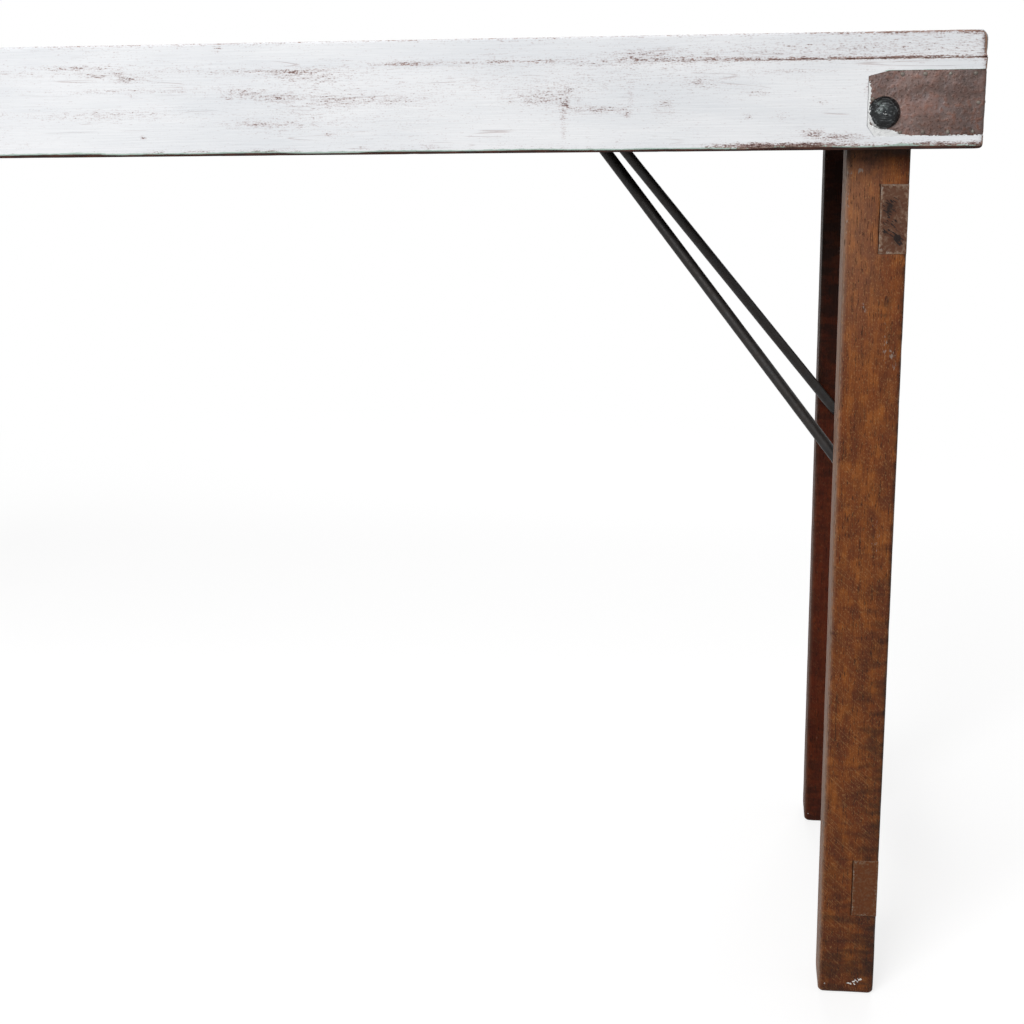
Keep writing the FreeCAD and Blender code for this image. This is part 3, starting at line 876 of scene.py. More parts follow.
@dataclass(frozen=True)
class WornPaint(Finish):
    """Chalky white paint over hardwood boards, brushed along the grain and worn through.

    The eye gets a flat, slightly cool white with fine brush lines, specks and dashes of brown wood
    along the fibres, hairline cracks, a trace of an older green coat where the white ends, and bare
    brown arrises that are orange where end grain begins. Brush lines are really 0.3 mm apart and
    pinhole specks as small; both are drawn up to 1 mm wide, because finer ones don't show.

    Attributes:
        white: the paint's usual tone.
        cool: a cooler white: painted shade along the brush lines, and broad cooler clouds of the
            paint.
        old_coat: the older coat, seen as a rim.
        worn_wood: wood with a trace of paint left on it.
        dark_wood: its darker fibres.
        core: wood in the middle of the worst marks, where nothing of the paint is left.
        end_wood: wood on worn corners, where the fibres are cut across.
        raw_wood: wood that never had paint.
        raw_dark: its darker fibres.
        relief: height of the brush lines, in millimetres.
    """

    white: str = "#F3F4F6"
    cool: str = "#D9DDE2"
    old_coat: str = "#6FA189"
    worn_wood: str = "#A48883"
    dark_wood: str = "#633F36"
    core: str = "#4A2C27"
    end_wood: str = "#A9764C"
    raw_wood: str = "#4A2A20"
    raw_dark: str = "#241310"
    relief: float = 0.10

    def paint(self, tree: Tree) -> dict[str, object]:
        """Draws the coat, what wears through it and the wood under it.

        Args:
            tree: the material's nodes.

        Returns:
            What the shader's inputs are fed with.
        """
        grain = add_node(tree, "Attribute", {"attribute_name": "grain"}, {}, "Vector")
        edge, coat, rub, end = (
            add_node(tree, "Attribute", {"attribute_name": name}, {}, "Fac")
            for name in ("edge", "paint", "rub", "end")
        )
        dashes = Pattern(6, 0.75, 0, 1, 2).mask(tree, grain)
        specks = Pattern(1.5, 0.8, 0, 1, 2).mask(tree, grain)
        patches = Pattern(80, 15, 0.44, 0.70, 3).mask(tree, grain)
        brushing = Pattern(55, 1.0, 0.3, 0.7, 2).mask(tree, grain)
        clouds = Pattern(160, 40, 0.35, 0.65).mask(tree, grain)
        figure = Pattern(14, 1.4, 0.35, 0.62, 4).mask(tree, grain)
        # a crack is the thin line where one slow noise passes its middle, kept only in places
        rising, falling = (
            Pattern(260, 9, low, high, 1).mask(tree, grain)
            for low, high in ((0.49, 0.5), (0.5, 0.51))
        )
        broken = Pattern(34, 9, 0.54, 0.66, 2).mask(tree, grain)
        line = weighted(tree, [(falling, -1.0)], rising)
        cracks = add_node(tree, "Math", {"operation": "MULTIPLY"}, {0: line, 1: broken})
        # marks grow slower the stronger they are, so that even the worst keep flakes of paint
        rubbed = add_node(tree, "Math", {"operation": "POWER"}, {0: 0.3, 1: rub})
        rubbed = weighted(tree, [(rubbed, -1.0)], 1.0)
        corner = add_node(tree, "Math", {"operation": "MULTIPLY"}, {0: edge, 1: end})
        wear = weighted(
            tree,
            [
                (dashes, 0.48), (specks, 0.48), (edge, 0.24), (rubbed, 0.45), (patches, 0.06),
                (corner, 0.5),
            ],
        )
        bare = weighted(tree, [(coat, -0.9), (dashes, 0.35)], 0.85)
        wear = add_node(tree, "Math", {"operation": "MAXIMUM"}, {0: wear, 1: bare})
        # worn arrises and cut ends are rubbed smooth and never get the dark cores
        torn = weighted(tree, [(end, -0.5), (edge, -0.18)], wear)
        worn, thin, deep, rim, raw = (
            add_node(
                tree, "MapRange", {"interpolation_type": "SMOOTHSTEP"},
                {"Value": value, "From Min": low, "From Max": high, "To Max": most},
            )
            for value, low, high, most in (
                (wear, 0.80, 0.88, 0.82), (wear, 0.58, 0.84, 0.40), (torn, 0.90, 1.04, 0.9),
                (bare, 0.36, 0.54, 0.6), (coat, 0.38, 0.12, 1.0),
            )
        )
        # painted shade along the brush lines, and broad cooler clouds of the paint
        shade = weighted(tree, [(brushing, 0.22), (clouds, 0.38)])
        cut = weighted(tree, [(end, 1.0), (edge, 0.5)])
        wood = layered(tree, self.worn_wood, [(figure, self.dark_wood), (cut, self.end_wood)])
        raw_wood = layered(tree, self.raw_wood, [(figure, self.raw_dark)])
        white = layered(
            tree, self.white,
            [
                (shade, self.cool), (thin, self.worn_wood),
                ([(cracks, 0.4)], self.worn_wood), (rim, self.old_coat),
            ],
        )
        relief = weighted(
            tree, [(brushing, 0.28), (worn, -1.0), (cracks, -1.0), (figure, 0.25)], 1.0
        )
        return {
            "Base Color": layered(
                tree, white, [(worn, wood), (deep, self.core), (raw, raw_wood)]
            ),
            "Roughness": weighted(tree, [(worn, 0.15), (brushing, -0.06)], 0.7),
            "Specular IOR Level": 0.3,
            "Normal": add_node(tree, "Bump", {}, {"Height": relief, "Distance": self.relief * MM}),
        }


@dataclass(frozen=True)
class OiledWood(Finish):
    """Sawn hardwood, oiled and handled: warm brown, with reddish clouds, pores and pale arrises.

    The eye gets fine fibres along the piece, gold and red clouds, a curl across the fibres, a soft
    sheen, dark stains and painted shade on its outer edge, painted shade under the aprons and toward
    a back leg's top, a painted sheen on a leg's inner face, fine scratches, torn end grain where a
    rail's end shows, and a few specks of white paint near the floor. The pores and short fibres are
    really 0.2 mm wide, and are drawn 0.8 mm wide, because finer ones don't show.

    Attributes:
        warm: its usual tone.
        light: the golden places.
        red: the reddish clouds and fibres.
        pore: the open pores and cracks.
        stain: dirt and old oil, and painted shade on the outer edge, under the aprons and toward a
            back leg's top.
        arris: the worn arrises.
        scuff: bruises.
        fleck: short pale fibres and scratches.
        end_wood: end grain.
        end_dark: its gouges.
        end_rim: its frayed border.
        speck: spattered paint.
        gloss: how much it shines, from 0 to 1.
        sheen: its usual roughness.
        relief: height of its fibres, in millimetres.
    """

    warm: str = "#783F1B"
    light: str = "#9C5B26"
    red: str = "#4E2413"
    pore: str = "#22110A"
    stain: str = "#170D09"
    arris: str = "#8F7C6E"
    scuff: str = "#94867C"
    fleck: str = "#B58A5C"
    end_wood: str = "#5E3E2D"
    end_dark: str = "#1D110E"
    end_rim: str = "#8C7360"
    speck: str = "#EDEBE6"
    gloss: float = 0.2
    sheen: float = 0.5
    relief: float = 0.14

    def paint(self, tree: Tree) -> dict[str, object]:
        """Draws the fibres, stains and painted shade, worn arrises, painted sheen and end grain.

        Args:
            tree: the material's nodes.

        Returns:
            What the shader's inputs are fed with.
        """
        grain = add_node(tree, "Attribute", {"attribute_name": "grain"}, {}, "Vector")
        edge, rub, end, soot, spatter, bleach, low_down = (
            add_node(tree, "Attribute", {"attribute_name": name}, {}, "Fac")
            for name in ("edge", "rub", "end", "soot", "spatter", "bleach", "low")
        )
        fibres = Pattern(26, 0.9, 0.40, 0.62, 4).mask(tree, grain)
        bands = Pattern(70, 9, 0.40, 0.66, 4).mask(tree, grain)
        clouds = Pattern(26, 13, 0.44, 0.64, 5).mask(tree, grain)
        gold = Pattern(20, 9, 0.44, 0.64, 5).mask(tree, grain)
        curl = Pattern(5, 16, 0.46, 0.68, 4).mask(tree, grain)
        pores = Pattern(6, 0.8, 0.61, 0.68, 2).mask(tree, grain)
        flecks = Pattern(1.8, 0.9, 0.56, 0.68, 3).mask(tree, grain)
        cracks = Pattern(34, 1.5, 0.70, 0.73, 2).mask(tree, grain)
        scratches = Pattern(14, 0.7, 0.60, 0.68, 1, slant=0.8).mask(tree, grain)
        smoke = Pattern(7, 17, 0.36, 0.66, 4).mask(tree, grain)
        mottle = Pattern(9, 6, 0.34, 0.68, 5).mask(tree, grain)
        torn = Pattern(9, 1.3, 0.50, 0.62, 3, thick=5, lean=-0.6).mask(tree, grain)
        rough = Pattern(4, 1.0, 0.3, 0.7, 3).mask(tree, grain)
        ragged = Pattern(3, 2.2, 0.3, 0.7, 3).mask(tree, grain)
        dots = Pattern(1.6, 2.2, 0.45, 0.65, 2).mask(tree, grain)
        # the first mask: dirt and old oil, and the painted shade that the layer soot carries
        dirt_and_shade, pale, frayed, scuffed, specked, gouged = (
            add_node(
                tree, "MapRange", {"interpolation_type": "SMOOTHSTEP"},
                {"Value": weighted(tree, parts), "From Min": low, "From Max": high},
            )
            for parts, low, high in (
                ([(soot, 0.8), (smoke, 0.35), (rub, -0.3)], 0.25, 1.05),
                ([(edge, 0.8), (rough, 0.5)], 0.7, 1.1),
                ([(edge, 1.0), (ragged, 0.5), (dots, 0.5), (rub, 0.3)], 0.75, 1.35),
                ([(rub, 0.75), (rough, 0.35), (ragged, 0.55)], 0.95, 1.2),
                ([(spatter, 0.8), (dots, 0.5)], 0.92, 1.0),
                ([(rub, -0.6), (torn, 0.5)], 0.50, 0.66),
            )
        )
        # toward the foot the wood is curlier and has scratches across it
        hatched, curled = (
            add_node(tree, "Math", {"operation": "MULTIPLY"}, {0: low_down, 1: value})
            for value in (scratches, curl)
        )
        ends = layered(
            tree, self.end_wood,
            [
                ([(mottle, 0.35)], self.red),
                ([(dots, 0.3)], self.end_rim),
                ([(rub, -0.25)], self.end_dark), (gouged, self.end_dark),
                ([(frayed, 0.8)], self.end_rim),
            ],
        )
        colour = layered(
            tree, self.warm,
            [
                # paler where the wood is bleached, and painted sheen on a leg's inner face
                ([(bands, 0.36), (gold, 0.64), (bleach, 0.2)], self.light),
                ([(clouds, 0.56), (low_down, 0.22)], self.red),
                ([(mottle, 0.22)], self.red),
                ([(fibres, 0.34), (curl, 0.14), (curled, 0.3)], self.red),
                ([(bleach, 0.18)], self.arris),
                ([(pores, 0.75), (cracks, 0.8)], self.pore),
                ([(flecks, 0.34), (scratches, 0.06), (hatched, 0.16)], self.fleck),
                ([(pale, 0.8)], self.arris), (end, ends),
                ([(dirt_and_shade, 0.88)], self.stain),
                ([(scuffed, 0.75)], self.scuff), (specked, self.speck),
            ],
        )
        relief = weighted(
            tree, [(fibres, 0.4), (pores, -0.8), (cracks, -1.5), (torn, -0.2), (rough, 0.2)], 1.0
        )
        return {
            "Base Color": colour,
            "Roughness": weighted(tree, [(fibres, 0.1), (rough, 0.12)], self.sheen),
            "Specular IOR Level": self.gloss,
            "Normal": add_node(tree, "Bump", {}, {"Height": relief, "Distance": self.relief * MM}),
        }


@dataclass(frozen=True)
class BareWood(Finish):
    """Sawn softwood left as it came, with straight growth lines.

    The eye gets a dry, pale brown gone grey in patches, darker lines along the batten where the
    late wood is, and a rough sawn face. Fibres are drawn 0.9 mm wide: finer ones don't show.

    Attributes:
        early: the wood between the growth lines.
        late: the growth lines.
        grey: wood that has aged.
        relief: height of the lines, in millimetres.
    """

    early: str = "#8A6748"
    late: str = "#5E4230"
    grey: str = "#7A6A5C"
    relief: float = 0.12

    def paint(self, tree: Tree) -> dict[str, object]:
        """Draws the growth lines, the fibres and the grey of age.

        Args:
            tree: the material's nodes.

        Returns:
            What the shader's inputs are fed with.
        """
        grain = add_node(tree, "Attribute", {"attribute_name": "grain"}, {}, "Vector")
        lines = Pattern(240, 3.2, 0.42, 0.6, 3).mask(tree, grain)
        fibres = Pattern(30, 0.9, 0.35, 0.65, 3).mask(tree, grain)
        age = Pattern(70, 30, 0.4, 0.7, 3).mask(tree, grain)
        colour = layered(
            tree, self.early,
            [
                (lines, self.late), ([(age, 0.6)], self.grey),
                ([(fibres, 0.3)], self.late),
            ],
        )
        relief = weighted(tree, [(lines, 0.5), (fibres, 0.5)])
        return {
            "Base Color": colour,
            "Roughness": 0.82,
            "Specular IOR Level": 0.3,
            "Normal": add_node(tree, "Bump", {}, {"Height": relief, "Distance": self.relief * MM}),
        }


@dataclass(frozen=True)
class Iron(Finish):
    """Wrought or rolled iron under oxide: a base tone with rust, scale and rubbed places.

    The eye gets a dull, cloudy brown or black skin with fine pits, warmer where it rusts and cooler
    where the mill scale holds, and white paint where a brush ran over its rim. On a bolt's head the
    layers also paint light and shade: painted highlights along the hammer's streaks, a painted sheen
    on the upper part, a ring of white as a painted highlight round the dimple, and painted shade at
    the rim. The pits are really 0.3 mm wide, and are drawn 1.6 mm wide, because finer ones don't
    show.

    Attributes:
        base: its usual tone.
        rust: tone of the rust.
        scale: tone of the cooler, scaled places.
        dark: tone of the pits and dirt, and of the layer shade: darker toward a strap's corner, and
            painted shade at the rim of a bolt's head.
        metallic: how much of it still shines as metal.
        roughness: its usual roughness.
        pits: relief in millimetres.
        rusted: share of rust, from 0 to 1.
        sooted: share of dark clouds, from 0 to 1.
        bright: how strongly the hammer's streaks are painted as highlights.
        gleam: tone of those painted highlights.
        ember: tone of fresh rust on a strap, and of the painted sheen on a bolt's head, where the
            layer fresh says so.
        painted: tone of white paint smeared on it, where the layer smear says so.
    """

    base: str = "#1F1D1C"
    rust: str = "#33271F"
    scale: str = "#2B2C2E"
    dark: str = "#0F0D0C"
    metallic: float = 0.45
    roughness: float = 0.5
    pits: float = 0.08
    rusted: float = 0.35
    sooted: float = 0.2
    bright: float = 0.0
    gleam: str = "#B4B8BA"
    ember: str = "#93502F"
    painted: str = "#E6E7E7"

    def paint(self, tree: Tree) -> dict[str, object]:
        """Draws the rust, scale and pits, the paint that was smeared over them, and the painted
        highlights, sheen and shade of a bolt's head.

        Args:
            tree: the material's nodes.

        Returns:
            What the shader's inputs are fed with.
        """
        place = add_node(tree, "TexCoord", {}, {}, "Object")
        smear, fresh, shade = (
            add_node(tree, "Attribute", {"attribute_name": name}, {}, "Fac")
            for name in ("smear", "fresh", "shade")
        )
        clouds = Pattern(12, 12, 0.42, 0.62, 5).mask(tree, place)
        scales = Pattern(8, 8, 0.46, 0.64, 5).mask(tree, place)
        spotted = Pattern(3.2, 3.2, 0.44, 0.66, 4).mask(tree, place)
        pits = Pattern(1.6, 1.6, 0.56, 0.68, 2).mask(tree, place)
        soot = Pattern(18, 12, 0.42, 0.60, 5).mask(tree, place)
        blows = Pattern(6, 1.4, 0.52, 0.66, 3).mask(tree, place)
        edges = Pattern(1.9, 1.3, 0, 1, 2).mask(tree, place)
        ragged = weighted(tree, [(smear, 1.0), (edges, 0.7)])
        coated = add_node(
            tree, "MapRange", {"interpolation_type": "SMOOTHSTEP"},
            {"Value": ragged, "From Min": 0.82, "From Max": 0.90},
        )
        # the layer fresh: fresh rust on a strap; on a bolt's head, a painted sheen
        rust_and_sheen = add_node(tree, "Math", {"operation": "MULTIPLY"}, {0: fresh, 1: spotted})
        colour = layered(
            tree, self.base,
            [
                ([(scales, 0.5)], self.scale),
                ([(clouds, self.rusted)], self.rust),
                ([(spotted, self.rusted)], self.rust), (rust_and_sheen, self.ember),
                ([(soot, self.sooted), (pits, self.sooted)], self.dark),
                # the layer shade darkens a strap toward its corner and paints shade at a bolt's rim;
                # the hammer's streaks are painted highlights
                (shade, self.dark), ([(blows, self.bright)], self.gleam),
                (coated, self.painted),
            ],
        )
        relief = weighted(
            tree,
            [
                (pits, -0.45), (spotted, 0.45), (clouds, 0.5), (blows, 0.3 * self.bright),
                (coated, 0.4),
            ],
            1.0,
        )
        dulled = -0.5 * self.metallic * self.rusted
        metal = weighted(tree, [(clouds, dulled), (coated, -1.0)], self.metallic)
        return {
            "Base Color": colour,
            "Metallic": add_node(tree, "Math", {"operation": "MAXIMUM"}, {0: metal, 1: 0.0}),
            "Roughness": weighted(
                tree, [(spotted, 0.12), (clouds, 0.1), (coated, 0.1)], self.roughness
            ),
            "Normal": add_node(tree, "Bump", {}, {"Height": relief, "Distance": self.pits * MM}),
        }


WHITE_PAINT = WornPaint("worn_chalk_paint_on_hardwood")
HARDWOOD = OiledWood("oiled_sheesham")
# the back legs: a shaded copy of the same wood, darker, duller and redder, as painted shade for the
# shadow of the top
SHADED_HARDWOOD = OiledWood(
    "dark_oiled_sheesham", warm="#5A2412", light="#682F15", red="#40190F", fleck="#6E4830",
    arris="#5C4A40", gloss=0.1,
)
# the lower rails: end grain that was cut clean and is as brown as the leg round it
BROWN_END_HARDWOOD = OiledWood(
    "oiled_sheesham_end_grain", end_wood="#65391D", end_dark="#482A18", end_rim="#775B45"
)
SOFTWOOD = BareWood("sawn_deal")
# rolled sheet, brown all over with rust and old paint, dull and lumpy
STRAP_IRON = Iron(
    "rusted_sheet_iron", base="#7F6A64", rust="#8B665B", scale="#877C7D", dark="#35251F",
    metallic=0.15, roughness=0.42, pits=0.6, rusted=0.45, sooted=0.46, ember="#9A5B3C",
)
# forged and blacked in oil: nearly black, with painted highlights on the streaks where the hammer
# fell and a grey-green painted sheen
BOLT_IRON = Iron(
    "blacked_forged_iron", base="#2A2D2F", rust="#1C1815", scale="#3E4245", dark="#070707",
    metallic=0.8, roughness=0.28, pits=0.4, rusted=0.3, sooted=0.5, bright=0.4, gleam="#8A8E90",
    ember="#7D8885",
)
# drawn wire gone dull: a plain grey with patches of brown rust
NAIL_IRON = Iron(
    "dull_nail_iron", base="#77716A", rust="#6B5145", scale="#8A8880", dark="#2E2622",
    metallic=0.3, roughness=0.5, pits=0.05,
)
# rolled bar under black mill scale: almost even, with a soft shine along the rod
ROD_IRON = Iron("blacked_round_iron", rusted=0.2, roughness=0.42)


# ---------- putting pieces in the scene


def add_piece(
    name: str, shape: Shape, body: str, finish: Finish, stands_for: Sequence[str] = ()
) -> None:
    """Makes a shape into a piece of the table.

    Args:
        name: the piece's name.
        shape: its surface.
        body: the body of the frame that carries it.
        finish: its material.
        stands_for: nodes of the frame that it replaces.
    """
    mesh = bpy.data.meshes.new(name)
    mesh.from_pydata(shape.points, [], shape.faces)
    mesh.polygons.foreach_set("use_smooth", np.ones(len(shape.faces), bool))
    for layer, values in shape.layers.items():
        kind, key = ("FLOAT_VECTOR", "vector") if values.ndim == 2 else ("FLOAT", "value")
        mesh.attributes.new(layer, kind, "POINT").data.foreach_set(key, values.ravel())
    mesh.materials.append(finish.material())
    mesh.set_sharp_from_angle(angle=math.radians(50))
    mesh.update()
    piece = bpy.data.objects.new(name, mesh)
    bpy.context.scene.collection.objects.link(piece)
    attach(piece, body)
    if stands_for:
        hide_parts(*stands_for)
    log.info("%s: %d faces on %s", name, len(shape.faces), body)


def dress_node(node: str, finish: Finish) -> None:
    """Gives a node of the frame its finish, in the material slots of its object.

    Args:
        node: the node's name.
        finish: its material.
    """
    for material_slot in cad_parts[node].material_slots:
        material_slot.link = "OBJECT"
        material_slot.material = finish.material()
    log.info("%s: dressed with %s", node, finish.name)


# ---------- fastenings and ironwork


@dataclass
class Fastening:
    """Small heads on a surface: each a low dome on a short shank, set in along its normal.

    Attributes:
        radius: the head's radius.
        rise: how far its crown stands out.
        sunk: how far its shank goes in.
    """

    radius: float = 1.6 * MM
    rise: float = 0.45 * MM
    sunk: float = 1.2 * MM

    AROUND = 10  # points of a ring

    def head(self, place: Sequence[float], outward: Sequence[float], seed: int) -> Shape:
        """One head: rings of a flattened dome, each radius a little uneven.

        Args:
            place: where the head's middle meets the surface.
            outward: the surface's normal.
            seed: sets its unevenness.

        Returns:
            The head's surface.
        """
        part = np.array([0.0, 0.55, 0.9, 1.0, 1.0])
        height = np.array([1.0, 0.86, 0.45, 0.0, -self.sunk / self.rise]) * self.rise
        angle = np.linspace(0, 2 * math.pi, self.AROUND, endpoint=False)
        uneven = 1 + 0.07 * np.sin(2 * angle + seed) + 0.05 * np.sin(3 * angle + 2 * seed)
        size = self.radius * (1 + 0.12 * math.sin(4.3 * seed))
        radii = np.maximum(part, 0.12)[:, None] * size * uneven
        heights = np.repeat(height[:, None], self.AROUND, axis=1)
        rings = np.stack([radii * np.cos(angle), radii * np.sin(angle), heights], -1)
        turn = Vector((0, 0, 1)).rotation_difference(Vector(outward)).to_matrix()
        return rings_surface(rings[::-1] @ np.array(turn).T + np.asarray(place))


@dataclass
class SlottedScrews:
    """Round-headed screws with a slot, pointing up.

    Attributes:
        radius: the head's radius.
        rise: the head's height.
        slot: half the slot's width.
        slot_depth: the slot's depth.
    """

    radius: float = 4 * MM
    rise: float = 2.4 * MM
    slot: float = 0.5 * MM
    slot_depth: float = 1.1 * MM

    def head(self, x: float, y: float, seat: float, seed: int) -> Shape:
        """One head under a plate.

        A square net is mapped to a disc by x·sqrt(1 - y²/2) and y·sqrt(1 - x²/2), bulged to a
        dome, and pressed in between two close lines for the slot.

        Args:
            x: place along the table.
            y: place across the table.
            seat: height of the plate's underside.
            seed: turns the slot.

        Returns:
            The head's surface.
        """
        half = self.slot / self.radius
        even = np.linspace(-1, 1, 9)
        cross = np.unique(np.concatenate([even, [-half - 0.01, -half, half, half + 0.01]]))
        made = box_surface([even, cross, np.array([-1.0, -0.5, 0.0])])
        across, over, up = made.points.T
        disc = np.stack(
            [across * np.sqrt(1 - over**2 / 2), over * np.sqrt(1 - across**2 / 2)], axis=1
        )
        dome = up * self.rise * np.sqrt(1 - 0.85 * np.clip((disc**2).sum(1), 0, 1))
        slotted = (np.abs(over) <= half + 1e-6) & (up < -0.9)
        dome = np.where(slotted, np.minimum(dome + self.slot_depth, -0.2 * self.rise), dome)
        turn = Matrix.Rotation(0.9 * seed, 2)
        disc = disc * self.radius @ np.array(turn).T
        made.points = np.column_stack([disc[:, 0] + x, disc[:, 1] + y, dome + seat])
        return made


@dataclass
class CornerStrap:
    """A strap of sheet iron bent round a corner of the frame.

    Attributes:
        side: the end of the table.
        face: the long side of the table.
        outline: the outline of both leaves.
        length: of the leaf along the front or back.
        reach: of the leaf round the corner.
        thickness: of the sheet.
        sink: how far the sheet lies under the wood's surface.
        bend: outer radius of the bend.
    """

    side: Side
    face: Face
    outline: StrapOutline
    length: float = 79 * MM
    reach: float = 58 * MM
    thickness: float = 2 * MM
    sink: float = 0.2 * MM
    bend: float = 2.2 * MM

    BORDER = np.array([0, 0.3, 0.7, 1.5]) * MM  # grid lines beside an edge
    MESH = 1.5 * MM  # distance between the others
    SLANT = 30 * MM  # how far from a free end the grid lines are slanted

    def shape(self) -> Shape:
        """The strap's surface.

        A flat plate's net, s along the strip, t through its thickness and z up, is cut back at its
        free corners, beaten, and bent: s and t turn through a quarter circle between the leaves.

        Returns:
            The surface, with the layers smear, fresh and shade.
        """
        front, back = (leaf - self.sink - self.bend for leaf in (self.length, self.reach))
        turn = self.bend * math.pi / 2
        rim = 0.3 * MM
        bent = [0, turn / 4, turn / 2, 3 * turn / 4, turn]
        low, high = self.outline.bottom, self.outline.top
        made = box_surface(
            [
                grid_lines(-front, turn + back, self.MESH, self.BORDER, bent),
                np.array([0, rim, self.thickness - rim, self.thickness]),
                grid_lines(low, high, self.MESH, self.BORDER, self.outline.heights()),
            ]
        )
        s, t, z = made.points.T
        setback = self.outline.setback(z)
        s = np.where(s < 0, s + setback * ramp(-s, front - self.SLANT, front), s)
        far_leaf = s - setback * ramp(s, turn + back - self.SLANT, turn + back)
        s = np.where(s > turn, far_leaf, s)
        gaps = [
            np.minimum(s + front, turn + back - s),
            np.minimum(t, self.thickness - t),
            np.minimum(z - z.min(), z.max() - z),
        ]
        t, z = self.beaten(made.points, np.sort(np.column_stack(gaps), axis=1)[:, 1])
        angle, radius = np.clip(s, 0, turn) / self.bend, self.bend - t
        x = np.where(s < 0, s, np.where(s > turn, radius, radius * np.sin(angle)))
        arc = self.bend - radius * np.cos(angle)
        y = np.where(s < 0, t, np.where(s > turn, self.bend + s - turn, arc))
        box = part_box(f"{self.face.label}_apron")
        base_x = box[int(self.side is Side.RIGHT)].x - self.side.value * (self.sink + self.bend)
        base_y = box[int(self.face is Face.BACK)].y - self.face.value * self.sink
        made.points = np.column_stack(
            [base_x + self.side.value * x, base_y - self.face.value * y, z]
        )
        if self.side.value * self.face.value > 0:
            made.faces = [quad[::-1] for quad in made.faces]
        made.layers = self.weathered(made.points)
        return made

    def beaten(self, net: Array, gap: Array) -> tuple[Array, Array]:
        """The plate's outer skin made wavy, and its edges worn.

        Args:
            net: the flat plate's points, as s, t and z.
            gap: distance of each point from the nearest edge.

        Returns:
            The new t and z.
        """
        t, z = net[:, 1], net[:, 2]
        seed = 51 + 2 * self.side.value + self.face.value
        near = np.exp(-gap / (0.8 * MM))
        wave = 0.2 * MM * noise(net, (15, 30, 15), seed)
        wave += 0.12 * MM * noise(net, (5, 30, 5), seed + 1)
        dented = t + np.where(t < self.thickness / 2, np.abs(wave) + 0.22 * MM * near, 0)
        return dented, z + 0.25 * MM * near * noise(net, (9, 30, 30), seed + 2)

    def weathered(self, points: Array) -> dict[str, Array]:
        """The finish's layers: smeared paint, fresh rust low down at the corner, and a darkening
        toward the corner and lower down.

        Paint lies below a slanting line, in a strip at the free end and along the lower edge.

        Args:
            points: the strap's points.

        Returns:
            The layers smear, which is 0.5 at the paint's edge, fresh and shade.
        """
        low, high = self.outline.bottom, self.outline.top
        along, z = self.side.value * points[:, 0], points[:, 2]
        from_end = TABLE_END - along
        slanting = low + 4.8 * MM + 0.29 * (from_end - 66 * MM)
        below = ramp((slanting - z) / MM, -2.5, 2.5)
        strip = ramp((from_end - 76.5 * MM) / MM, -1.5, 2.5) * ramp((z - high) / MM, -1, -12)
        hem = 0.56 * ramp((z - low) / MM, 1.6, 0.2)
        lower = ramp(z, high - 8 * MM, low + 6 * MM)
        toward_end = ramp(along, TABLE_END - 55 * MM, TABLE_END - 6 * MM)
        # darker toward the corner
        dirt = 0.5 * ramp(along, TABLE_END - 62 * MM, TABLE_END)
        return {
            "smear": np.maximum(np.maximum(below, 0.8 * strip), hem),
            "fresh": 0.15 + 0.5 * toward_end * lower,
            "shade": 0.1 * ((high - z) / (high - low)) + dirt,
        }


